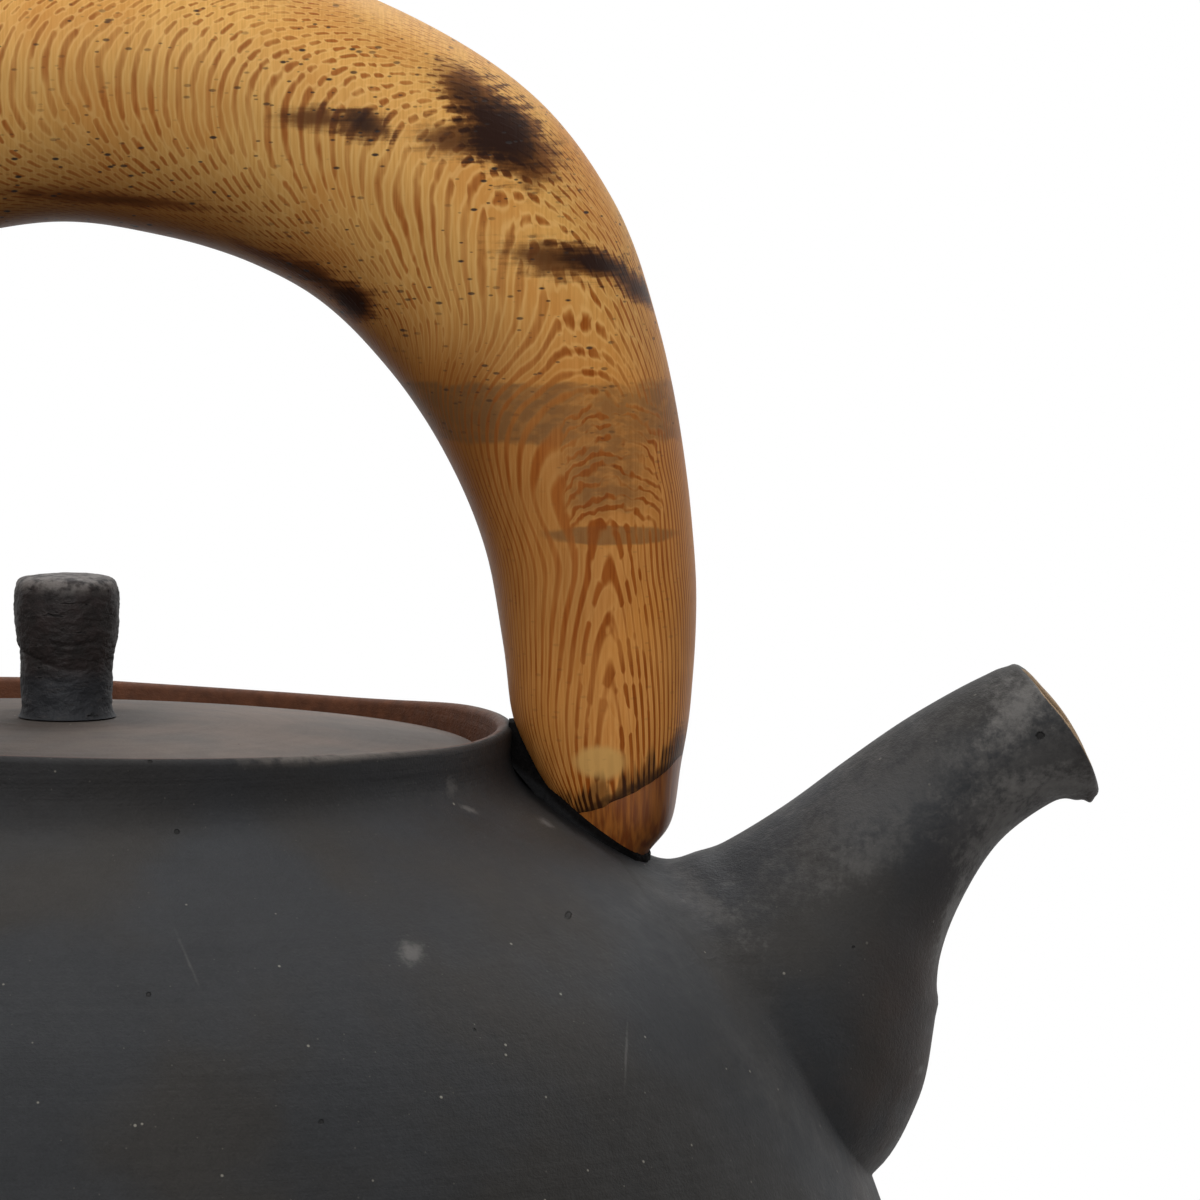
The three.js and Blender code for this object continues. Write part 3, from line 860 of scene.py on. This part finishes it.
# Scuffs of the pot and the spout, and a painted highlight along the spout's seam with the pot:
# centre, reach, angle and strength.
SCUFFS = [
    ((42.4, 113.5), (2.0, 1.3), 20, 0.5),
    ((17.4, 113.8), (0.22, 3.4), -28, 0.2),
    ((67.0, 100.7), (0.18, 4.6), 3, 0.25),
    ((48.5, 126.0), (1.4, 0.24), 27, 0.5),
    ((57.6, 123.2), (1.4, 0.26), 29, 0.5),
    ((46.4, 128.6), (0.7, 1.3), 0, 0.3),
    # The next two are a painted highlight along the spout's seam with the pot.
    ((80.6, 102.6), (5.0, 19), -35, 0.07),
    ((85.4, 92.5), (2.0, 12), -38, 0.07),
    ((76.5, 113.6), (7.0, 1.6), 40, 0.2),
    ((93, 112), (13, 11), -30, 0.07),
    ((98, 120), (9, 3.0), -32, 0.13),
    ((99, 126.5), (20, 7.0), -36, 0.24),
    ((116.0, 129.0), (11.0, 7.0), -20, 0.3),
    ((109.5, 124.0), (3.6, 8.0), 38, 0.22),
    ((114.2, 136.0), (5.4, 3.6), -35, 0.65),
    ((117.6, 126.6), (8.0, 2.6), -4, 0.95),
    ((111.4, 121.2), (2.8, 7.6), 38, 0.85),
    ((106.0, 111.0), (1.4, 5.6), 20, 0.8),
    ((102.2, 92.4), (0.6, 0.7), 0, 0.5),
    ((98.5, 82), (3.0, 7.0), 42, 0.16),
]
# The x from which a scuff is one of the spout, which has it on both sides.
SPOUT_FROM = 75
# Pits of the pot and the spout: centre and radius.
PITS = [
    ((15.4, 126.4), 0.32), ((13.1, 110.6), 0.3), ((60.6, 123.0), 0.4), ((60.3, 115.0), 0.42),
    ((32.7, 97.0), 0.3), ((116.5, 132.8), 0.56), ((94.1, 108.4), 0.22), ((49.7, 105.2), 0.22),
]


def clay():
    """Unglazed charcoal stoneware: cloudy, faintly ringed, with pale specks, pits and scuffs, and
    painted light and shade: a lighter shoulder, darker cove, lower body and flanks, painted shadow
    round the handle's feet, and painted highlights along the spout's seam and on the rim.
    """
    paint = Paint("dark_stoneware", roughness=0.62, specular=0.15)
    mix, x, y, z, radius = paint.mix, paint.x, paint.y, paint.z, paint.radius()
    clouds = paint.noise(30, detail=3)
    blotches = paint.noise(9, detail=4, roughness=0.6, seed=2.0)
    mottle = paint.noise(3.4, detail=4, roughness=0.65, seed=4.0)
    flecks = paint.noise(1.0, detail=3, roughness=0.7, seed=15.0)
    grain = paint.noise(0.32, roughness=0.7)
    on_spout = x.step(78, 96)
    off_spout = 1 - on_spout
    rings = paint.noise((60, 60, 0.9), detail=3, roughness=0.6).centred(1.0) * off_spout
    # Painted light and shade: lighter on the upward-facing shoulder, darker low down, and darker
    # still on the flanks low down.
    lit_shoulder = z.step(113, 122) * z.step(129, 125)
    below = z.step(112, 94) * off_spout
    shaded_flank = below * abs(x).step(40, 74)
    tone = lit_shoulder * 0.3 - below * 0.12 - shaded_flank * 0.42 + clouds.centred(0.3) + blotches.centred(0.42)
    tone += mottle.centred(1.0) * (on_spout * 0.5 + 0.4) + rings * 0.2
    tone += flecks.centred(0.5) + grain.centred(0.6) + 1
    warm = paint.noise(24, detail=4, seed=11.0).step(0.4, 0.66)
    colour = mix(warm, (43, 44, 46), (44, 42, 40))
    browned = (x + blotches.centred(26)).step(88, 108) * (z - x * 0.75).step(48, 22)
    colour = mix(browned * 0.9, colour, (52, 43, 39))
    # Painted shade in the collar's cove under the rim.
    cove_shade = z.step(124, 130.5) * radius.step(66, 58)
    colour = mix(cove_shade * 0.6, colour, (28, 27, 28))
    # Painted shadow round the handle's feet.
    colour = mix(foot_shadow(paint) * 0.85, colour, (13, 12, 12))
    colour = paint.shade(colour, tone)
    front = paint.two_faced()
    off_middle = abs(y).step(0.3, 3.0)
    # Pale scuffs, and the painted highlight along the spout's seam.
    for centre, reach, angle, strength in SCUFFS:
        of_spout = centre[0] > SPOUT_FROM
        distance = paint.spot(centre, reach, angle, paint.place if of_spout else front)
        cover = (distance + mottle.centred(1.5) + flecks.centred(1.6)).step(1.2, 0.0) * strength
        colour = mix(cover if of_spout else cover * off_middle, colour, (118, 115, 112))
    specks = paint.dots(3.8, 0.062, 0.8)
    dust = paint.dots(1.5, 0.09, 0.45, seed=3.7)
    colour = mix(specks * (0.75 - on_spout * 0.5), colour, (146, 142, 132))
    colour = mix(dust * 0.3, colour, (112, 108, 100))
    pits = paint.dots(13, 0.03, 0.6, seed=8.1)
    for centre, reach in PITS:
        distance = paint.spot(centre, (reach, reach * 0.9), 0, front)
        pits = paint.math("MAXIMUM", pits, (distance + grain.centred(0.6)).step(1.1, 0.6))
    colour = mix(pits * 0.85, colour, (14, 13, 12))
    inner_wall = radius.step(53.0, 52.5) * z.step(126.4, 127.2)
    rust = mix(paint.noise(1.6, detail=3), (58, 36, 26), (112, 70, 48))
    colour = mix(inner_wall, colour, rust)
    # Pale patches on the rim's top edge at the right: wear, and a painted highlight where the rounded
    # edge faces the light.
    worn_and_lit = z.step(132.6, 134.4) * radius.step(50, 52.6) * radius.step(55, 54) * x.step(18, 34)
    worn_and_lit *= paint.noise(2.4, detail=3, seed=6.0).step(0.3, 0.58)
    colour = mix(worn_and_lit * 0.7, colour, (136, 128, 121))
    bare = paint.value("ShaderNodeAttribute", output="Fac", attribute_name="bare")
    chipped = (bare + paint.noise(1.3, detail=3).centred(0.7)).step(0.35, 0.7)
    tan = mix(paint.noise(0.8, detail=3), (112, 86, 62), (176, 150, 118))
    relief = grain * 0.07 + flecks * 0.08 + rings * 0.09 + mottle * 0.14 + blotches * 0.12
    relief += specks * 0.03 - pits * 0.3
    return paint.finish(mix(chipped, colour, tan), relief, mottle.centred(0.3) + 0.6)


def foot_shadow(paint):
    """Painted shadow round the handle's feet: 1 beside a foot, 0 a little way off."""
    lengthwise, sideways = (abs(paint.x) - 64) / 9.3, paint.y / 12.3
    ragged = paint.noise(2.2, detail=3, seed=17.0).centred(0.35)
    reach = lengthwise * lengthwise + sideways * sideways + ragged
    return reach.step(1.5, 0.95) * paint.z.step(116, 119)


def lid_clay():
    """Paler taupe stoneware, mottled and turned smooth, with a bloom of dust, and painted shadow
    round the knob, on the left and on the near side.
    """
    paint = Paint("lid_stoneware", roughness=0.8, specular=0.15)
    mix, x, y, radius = paint.mix, paint.x, paint.y, paint.radius()
    circles = paint.noise(0.8, detail=3, roughness=0.6, place=paint.at(radius, 0.0, 0.0))
    mottle = paint.noise(4.0, detail=4, roughness=0.6)
    grain = paint.noise(0.35, roughness=0.7)
    warm = paint.noise(15, detail=3).step(0.35, 0.68)
    colour = mix(warm, (130, 119, 112), (118, 112, 108))
    # Painted shadow of the knob and the handle's arch: darker round the knob, on the left and on the
    # near side.
    knob_shadow = radius.step(17, 8) * 0.28
    shade_on_left = x.step(24, -14) * 0.36
    near = y.step(-8, -42) * x.step(52, 24) * 0.32
    tone = circles.centred(0.16) + mottle.centred(0.34) + grain.centred(0.3) + 1
    colour = paint.shade(colour, tone - knob_shadow - shade_on_left - near)
    colour = mix(radius.step(46, 49.8) * 0.55, colour, (84, 62, 50))
    specks = paint.dots(3.2, 0.06, 0.5, seed=2.2)
    colour = mix(specks * 0.6, colour, (168, 160, 150))
    pits = paint.dots(5, 0.04, 0.5, seed=5.2)
    colour = mix(pits * 0.7, colour, (40, 34, 31))
    return paint.finish(colour, grain * 0.05 + circles * 0.06 + mottle * 0.12)


def knob_clay():
    """Rough dark clay, paler on top from rubbing and a painted highlight, and bluish near its foot.
    """
    paint = Paint("knob_stoneware", roughness=0.6, specular=0.2)
    mix, z = paint.mix, paint.z
    mottle = paint.noise(2.2, detail=4, roughness=0.65)
    cracks = paint.noise((4.0, 4.0, 0.8), detail=3, roughness=0.7, seed=3.0)
    grain = paint.noise(0.4, roughness=0.7)
    colour = mix(mottle.step(0.35, 0.7), (26, 22, 21), (38, 31, 30))
    colour = mix(z.step(141, 138), colour, (38, 39, 42))
    colour = paint.shade(colour, mottle.centred(0.8) + grain.centred(0.4) + 1)
    furrow = cracks.step(0.37, 0.28)
    colour = mix(furrow * 0.8, colour, (10, 9, 9))
    ledge = cracks.step(0.42, 0.38) * cracks.step(0.36, 0.4)
    colour = mix(ledge * 0.35, colour, (84, 78, 76))
    # Paler patches on top: rubbing, and a painted highlight.
    rubbed_and_lit = z.step(148.9, 151.0) * paint.noise(1.4, detail=4).step(0.34, 0.6)
    colour = mix(rubbed_and_lit * 0.85, colour, (136, 130, 126))
    return paint.finish(colour, grain * 0.06 + mottle * 0.4 - furrow * 0.3)


# Burns of the wood: centre, reach, angle and strength.
BURNS = [
    ((52.2, 205.0), (4.6, 3.8), 42, 1.0),
    ((53.4, 203.8), (8.0, 4.0), 43, 0.8),
    ((48.6, 209.4), (5.4, 2.6), 38, 0.7),
    ((47.4, 204.0), (6.0, 2.4), 8, 0.55),
    ((36.2, 205.9), (3.3, 2.0), 8, 0.8),
    ((30.4, 206.6), (5.6, 1.6), 2, 0.5),
    ((58.6, 190.0), (7.0, 2.4), 10, 0.6),
    ((63.4, 189.3), (4.8, 1.7), 20, 0.95),
    ((68.3, 186.2), (4.0, 1.4), 42, 0.8),
    ((67.6, 193.8), (0.9, 4.2), -26, 0.6),
    ((70.8, 184.2), (1.0, 5.0), -22, 0.65),
    ((34.8, 184.6), (3.2, 2.4), 40, 1.0),
    ((31.0, 187.2), (6.5, 1.6), 36, 0.7),
    ((25.0, 189.6), (7.0, 0.9), 25, 0.6),
    ((8.0, 196.6), (12.0, 0.8), 4, 0.55),
    ((0.0, 197.6), (14.0, 1.4), 2, 0.3),
    ((73.2, 131.4), (1.0, 2.6), 12, 0.45),
]
# Grey stains of the wood, a band across the leg and a cloudy middle below it. The lens-shaped patch
# below them and the bald one above the toe are each given by a centre and a reach.
STAIN = {"top": 175.1, "bottom": 168.0, "middle": 64.8, "reach": 5.4}
LENS = ((65.2, 157.1), (8.9, 1.3))
BALD = ((63.9, 129.9), (2.9, 2.0))
# Growth layers, one of a pale and a dark one after another. On the arch they lean and show as
# upright bars, and in the legs they rise to a ridge.
LAYERS = {
    "pitch": 0.55, "bar_pitch": 1.9, "turned_about": 57, "tilt": 0.4, "eased": 0.27,
    "ridge": 65.4, "arc_pitch": 1.6,
}
GRIP_HEIGHT = 150


def distance_from_grip(paint):
    """Distance in the x-z plane from the middle of the grip, or from the legs' axis below it."""
    above = paint.math("MAXIMUM", paint.z - GRIP_HEIGHT, 0.0)
    return paint.math("SQRT", paint.x * paint.x + above * above)


def growth_layers(paint):
    """How far into its layer a place lies, from -1 in a pale one to 1 in a dark one."""
    x, z, pitch = paint.x, paint.z, LAYERS["pitch"]
    on_arch, in_leg = z.step(164, 184), z.step(181, 168)
    pivot = paint.math("SIGN", x) * LAYERS["turned_about"]
    lean = (pivot - x) * on_arch * (pitch / LAYERS["bar_pitch"])
    aside = abs(abs(x) - LAYERS["ridge"])
    peak = paint.math("SQRT", aside * aside + 0.6)
    steep = z.step(163, 151) * 0.26 + 0.1
    ridge = paint.math("SMOOTH_MIN", peak, 5.0, 2.5) * in_leg * steep
    below = paint.math("SMOOTH_MAX", 180 - z, 0.0, 8.0)
    low = paint.math("SMOOTH_MAX", 172 - z, 0.0, 5.0)
    tilt = low * LAYERS["eased"] - below * LAYERS["tilt"]
    bend = paint.noise((16, 40, 24)).centred(1.6)
    wander = paint.noise((5, 14, 15), seed=8.0).centred(0.55)
    depth = paint.y + lean + tilt + ridge + (bend + wander) * (on_arch * 0.7 + 0.3)
    turns = depth * (TAU / pitch)
    grip = distance_from_grip(paint)
    rows = paint.math("MAXIMUM", grip.step(58.6, 56.6), grip.step(65.5, 68))
    shuffle = paint.noise((4, 9, 4), seed=3.0).centred(9.0)
    bricks = paint.math("SINE", x * (TAU / 2.0) + turns * 0.5 + shuffle)
    gaps = bricks.step(0.1, 0.9) * on_arch * rows
    thin = paint.noise((1.5, 7, 4.5), detail=1, seed=4.0).step(0.5, 0.66)
    bare = paint.noise((7, 20, 9), detail=1, seed=6.0).step(0.55, 0.68)
    blobs = paint.noise((1.9, 8, 3.2), detail=1, seed=4.0).step(0.48, 0.6) - 0.3
    blobs *= in_leg * aside.step(5.5, 3.0)
    broken = gaps + thin * on_arch * 0.45 + bare * 0.35 + blobs
    wavy = paint.noise((2.6, 9, 3.4), seed=10.0).centred(4.4)
    crown = (aside + wavy).step(6.2, 4.8) * z.step(156.5, 160) * z.step(175, 171)
    arch = z + aside * aside * 0.09 + wavy
    arcs = paint.math("SINE", arch * (TAU / LAYERS["arc_pitch"]))
    return paint.math("SINE", turns) * (1 - crown) + arcs * crown - broken


def figured_wood():
    """Strongly figured wood: thin wavy growth layers that lie across Y, in honey and russet."""
    paint = Paint("figured_wood", roughness=0.42, specular=0.09)
    mix, across, z = paint.mix, abs(paint.x), paint.z
    uneven = paint.noise((1.8, 7, 6), seed=5.0).centred(1.0)
    layer = growth_layers(paint) + uneven
    bars = layer.step(-0.2, 0.9)
    halo = layer.step(-1.0, -0.35) * layer.step(0.35, -0.2)
    streaks = paint.noise((0.3, 3, 7), roughness=0.6)
    clouds = paint.noise(14, detail=3, seed=2.0)
    streaky = streaks.step(0.3, 0.7)
    # Painted light: the ground's paler high colour takes over towards the arch's top.
    low = mix(streaky, (180, 117, 55), (196, 134, 70))
    high = mix(streaky, (206, 152, 80), (222, 170, 96))
    ground = mix(z.step(166, 198), low, high)
    ground = mix(clouds.step(0.4, 0.7) * 0.7, ground, (196, 129, 58))
    ground = mix(halo * (z.step(170, 186) * 0.26 + 0.08), ground, (232, 188, 118))
    grip = distance_from_grip(paint)
    # Painted highlight on a band of the arch's upper part, and painted light low on the legs.
    upper = grip.step(60, 67) * grip.step(77, 71) * 0.26
    ground = paint.shade(ground, upper + z.step(152, 138) * 0.19 + 1)
    russet = mix(streaks.step(0.35, 0.65), (148, 74, 20), (166, 90, 30))
    vivid = paint.noise((7, 20, 10), seed=13.0).step(0.34, 0.62)
    middle = abs(across - LAYERS["ridge"]).step(7.5, 3.0)
    contrast = vivid * 0.48 + middle * 0.14 + z.step(150, 136) * 0.1 + 0.36
    colour = mix(bars * contrast, ground, russet)
    bald = paint.spot(*BALD, 0, paint.at(across, 0.0, z)) + uneven * 0.6
    colour = mix(bald.step(1.3, 0.8) * 0.85, colour, (222, 172, 100))
    # Darker on the grip's underside and the legs' inner sides: handling, and painted shade where
    # these face down and towards the lid.
    inner_leg_shade = across.step(55, 48) * z.step(186, 172) * 0.62
    handled_and_shaded = paint.math("MAXIMUM", grip.step(60, 42) * 0.88, inner_leg_shade)
    colour = mix(handled_and_shaded, colour, (98, 52, 21))
    return marked_wood(paint, colour, bars, streaks)


def burnt(paint, colour, bars):
    """Smoky burns, whose edges run out along the growth layers."""
    front = paint.two_faced()
    smoke = paint.noise(2.2, detail=4, roughness=0.6, seed=7.0).centred(1.2)
    threads = paint.noise((6, 9, 0.5), roughness=0.6, seed=1.0).centred(0.95)
    fray = smoke + threads - bars * 0.2
    whole = 1.0
    for *place, strength in BURNS:
        distance = paint.spot(*place, front)
        edge = distance + fray * (distance * 0.75 + 0.2)
        whole = (1 - edge.step(1.35, 0.1) * strength) * whole
    scorch = (1 - whole) * abs(paint.y).step(0.3, 3.0)
    colour = paint.mix(scorch.step(0.0, 0.5) * 0.9, colour, (104, 58, 26))
    return paint.mix(scorch.step(0.3, 0.95), colour, (34, 14, 5))


def stained(paint, colour, bars):
    """The grey band round the leg and the lens-shaped patch below it, paler on the dark layers."""
    across, z = abs(paint.x), paint.z
    ragged = paint.noise((3.0, 3.0, 1.4), detail=3, seed=7.0).centred(2.0)
    cloudy = paint.noise((2.5, 2.5, 1.2), detail=3, seed=4.4).step(0.36, 0.56)
    middle = abs((across - STAIN["middle"]) / STAIN["reach"]).step(1.25, 0.35)
    height, top, bottom = z + ragged, STAIN["top"], STAIN["bottom"]
    band = height.step(top + 0.4, top - 0.4) * height.step(bottom - 0.5, bottom + 0.5)
    band *= cloudy * 0.3 - middle * 0.25 + 0.7
    lens = paint.spot(*LENS, 1, paint.at(across, 0.0, z)) + ragged * 0.2
    clouded = middle * z.step(158, 162) * z.step(176, 173) * (cloudy * 0.4 + 0.5)
    cover = paint.math("MAXIMUM", band, lens.step(1.0, 0.75) * 0.85)
    cover = paint.math("MAXIMUM", cover, clouded) * (1 - bars * 0.72)
    shaded = paint.mix(1.0, colour, (0.58, 0.53, 0.52, 1), "MULTIPLY")
    return paint.mix(cover, colour, paint.mix(0.45, shaded, (122, 94, 62)))


def marked_wood(paint, colour, bars, streaks):
    """Stains, burns, the dark joint and pores over the wood's figure."""
    mix, z = paint.mix, paint.z
    colour = burnt(paint, stained(paint, colour, bars), bars)
    (x0, z0), (x1, z1) = TOE_JOINT
    above = z - (abs(paint.x) - x0) * ((z1 - z0) / (x1 - x0)) - z0
    tongue = paint.noise((0.85, 5, 12), seed=9.0)
    dark = (above - tongue * 13.0 + 4.0).step(1.0, -1.0) * above.step(4.6, 2.0)
    colour = mix(dark * (bars * 0.35 + 0.6), colour, (44, 22, 10))
    ragged = paint.noise(1.5, detail=4, roughness=0.65, seed=7.0)
    smear = abs(above + ragged.centred(1.7) + 0.2).step(1.2, 0.1) * (ragged * 0.9 + 0.35)
    colour = mix(smear, colour, (44, 25, 14))
    crowd = paint.noise(9, seed=12.0).step(0.38, 0.56)
    large = paint.dots((2.7, 2.7, 1.15), 0.21, 0.7, seed=1.4)
    small = paint.dots((1.7, 1.7, 0.75), 0.21, 0.46, seed=6.3)
    pores = paint.math("MAXIMUM", large, small * 0.85)
    pores *= (crowd * 0.7 + 0.3) * (z.step(160, 186) * 0.8 + 0.2)
    colour = mix(pores * 0.95, colour, (44, 38, 36))
    relief = bars * 0.015 + streaks * 0.03 - pores * 0.03
    return paint.finish(colour, relief, streaks * 0.12 + 0.4)


def toe_wood():
    """Plainer, browner wood with faint upright stripes."""
    paint = Paint("toe_wood", roughness=0.44, specular=0.35)
    stripes = paint.noise((0.6, 1.5, 18))
    fine = paint.noise((0.25, 0.8, 6), seed=3.0)
    colour = paint.mix(stripes.step(0.36, 0.64), (120, 60, 20), (170, 102, 42))
    colour = paint.mix(fine.step(0.4, 0.7) * 0.4, colour, (128, 80, 40))
    colour = paint.mix(abs(paint.x).step(67, 73) * 0.45, colour, (96, 56, 28))
    return paint.finish(colour, stripes * 0.03 + fine * 0.03)


def bedding():
    """Black bedding compound, set hard, crumbly at its edges and with clay dust low down."""
    paint = Paint("black_bedding", roughness=0.85, specular=0.08)
    lumps = paint.noise(0.7, detail=4, roughness=0.7)
    seat = SEAT["height"] - (paint.radius() - SEAT["radius"]) * SEAT["fall"]
    depth = seat - paint.z + lumps.centred(0.6)
    colour = paint.mix(lumps.step(0.4, 0.75), (5, 4, 4), (17, 15, 14))
    colour = paint.mix(depth.step(0.7, 1.7), colour, (33, 33, 34))
    return paint.finish(colour, lumps, proud=0.35)


MATERIALS = {
    "dark_stoneware": clay(),
    "lid_stoneware": lid_clay(),
    "knob_stoneware": knob_clay(),
    "figured_wood": figured_wood(),
    "toe_wood": toe_wood(),
    "black_bedding": bedding(),
}


# Camera, light and floor.

CAMERA = {"target": (64.0, 0, 148.2), "pitch": 5.3, "distance": 1200, "lens": 300, "sensor": 36}
# Lamps that face the middle of the kettle: name, place and size in metres, and power in watts.
MIDDLE = Vector((0, 0, 0.13))
LAMPS = [
    ("top", (0.0, -0.05, 1.6), (1.1, 1.0), 11.5),
    ("front", (-0.2, -1.5, 0.85), (1.2, 0.9), 15),
    ("right", (1.3, 0.35, 0.8), (0.6, 0.9), 4),
    ("back", (0.3, 0.9, 1.2), (1.0, 0.6), 6),
]
WHITE = (1, 1, 1, 1)
# The floor in metres: half its width, how far it lies below the base, and where it fades to white.
GROUND = {"reach": 6, "drop": 0.0002, "fade": (0.16, 0.48)}


def add_camera():
    camera = add_object("camera", bpy.data.cameras.new("camera"))
    pitch = math.radians(CAMERA["pitch"])
    back = Vector((0, -math.cos(pitch), math.sin(pitch))) * CAMERA["distance"]
    camera.location = (Vector(CAMERA["target"]) + back) * MM
    camera.rotation_euler = (math.pi / 2 - pitch, 0, 0)
    camera.data.lens = CAMERA["lens"]
    camera.data.sensor_width = CAMERA["sensor"]
    bpy.context.scene.camera = camera


def add_lamp(name, place, size, power):
    light = bpy.data.lights.new(name, "AREA")
    light.shape = "RECTANGLE"
    light.size, light.size_y = size
    light.energy = power
    lamp = add_object(name, light)
    lamp.location = place
    lamp.rotation_euler = (MIDDLE - Vector(place)).to_track_quat("-Z", "Y").to_euler()


def add_world():
    """White to the camera and in reflections, and nearly dark to all other light."""
    world = bpy.data.worlds.new("studio")
    world.use_nodes = True
    nodes = Nodes(world.node_tree)
    background = world.node_tree.nodes["Background"].inputs
    nodes.feed(background["Color"], WHITE)
    nodes.feed(background["Strength"], nodes.seen() * 0.97 + 0.03)
    bpy.context.scene.world = world


def add_floor():
    """A pale floor that fades into the white behind it, and throws little light back."""
    mesh = bpy.data.meshes.new("floor")
    size = GROUND["reach"]
    corners = [(-size, -size, 0), (size, -size, 0), (size, size, 0), (-size, size, 0)]
    mesh.from_pydata(corners, [], [(0, 1, 2, 3)])
    floor = add_object("floor", mesh)
    floor.location.z = -GROUND["drop"]
    material = bpy.data.materials.new("floor")
    material.use_nodes = True
    material.node_tree.nodes.clear()
    nodes = Nodes(material.node_tree)
    seen = nodes.seen()
    tint = nodes.mix(seen, (0.16, 0.16, 0.16, 1), (0.85, 0.85, 0.85, 1))
    diffuse = nodes.value("ShaderNodeBsdfDiffuse", {"Color": tint})
    place = nodes.value("ShaderNodeNewGeometry", output="Position")
    far = nodes.length(place).step(*GROUND["fade"])
    glow = nodes.value("ShaderNodeEmission")
    surface = nodes.value("ShaderNodeMixShader", {0: far * seen, 1: diffuse, 2: glow})
    nodes.node("ShaderNodeOutputMaterial", {"Surface": surface})
    mesh.materials.append(material)


# Scene.


def paint_over(mesh, slot):
    mesh.materials.clear()
    mesh.materials.append(MATERIALS[slot])


for make, body, node, slot in PIECES:
    piece = make()
    paint_over(piece.data, slot)
    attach(piece, body)
    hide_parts(node)

for name in ("front_lug", "rear_lug"):
    paint_over(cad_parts[name].data, "dark_stoneware")

add_camera()
add_world()
add_floor()
for lamp in LAMPS:
    add_lamp(*lamp)

bpy.context.scene.view_settings.view_transform = "Standard"
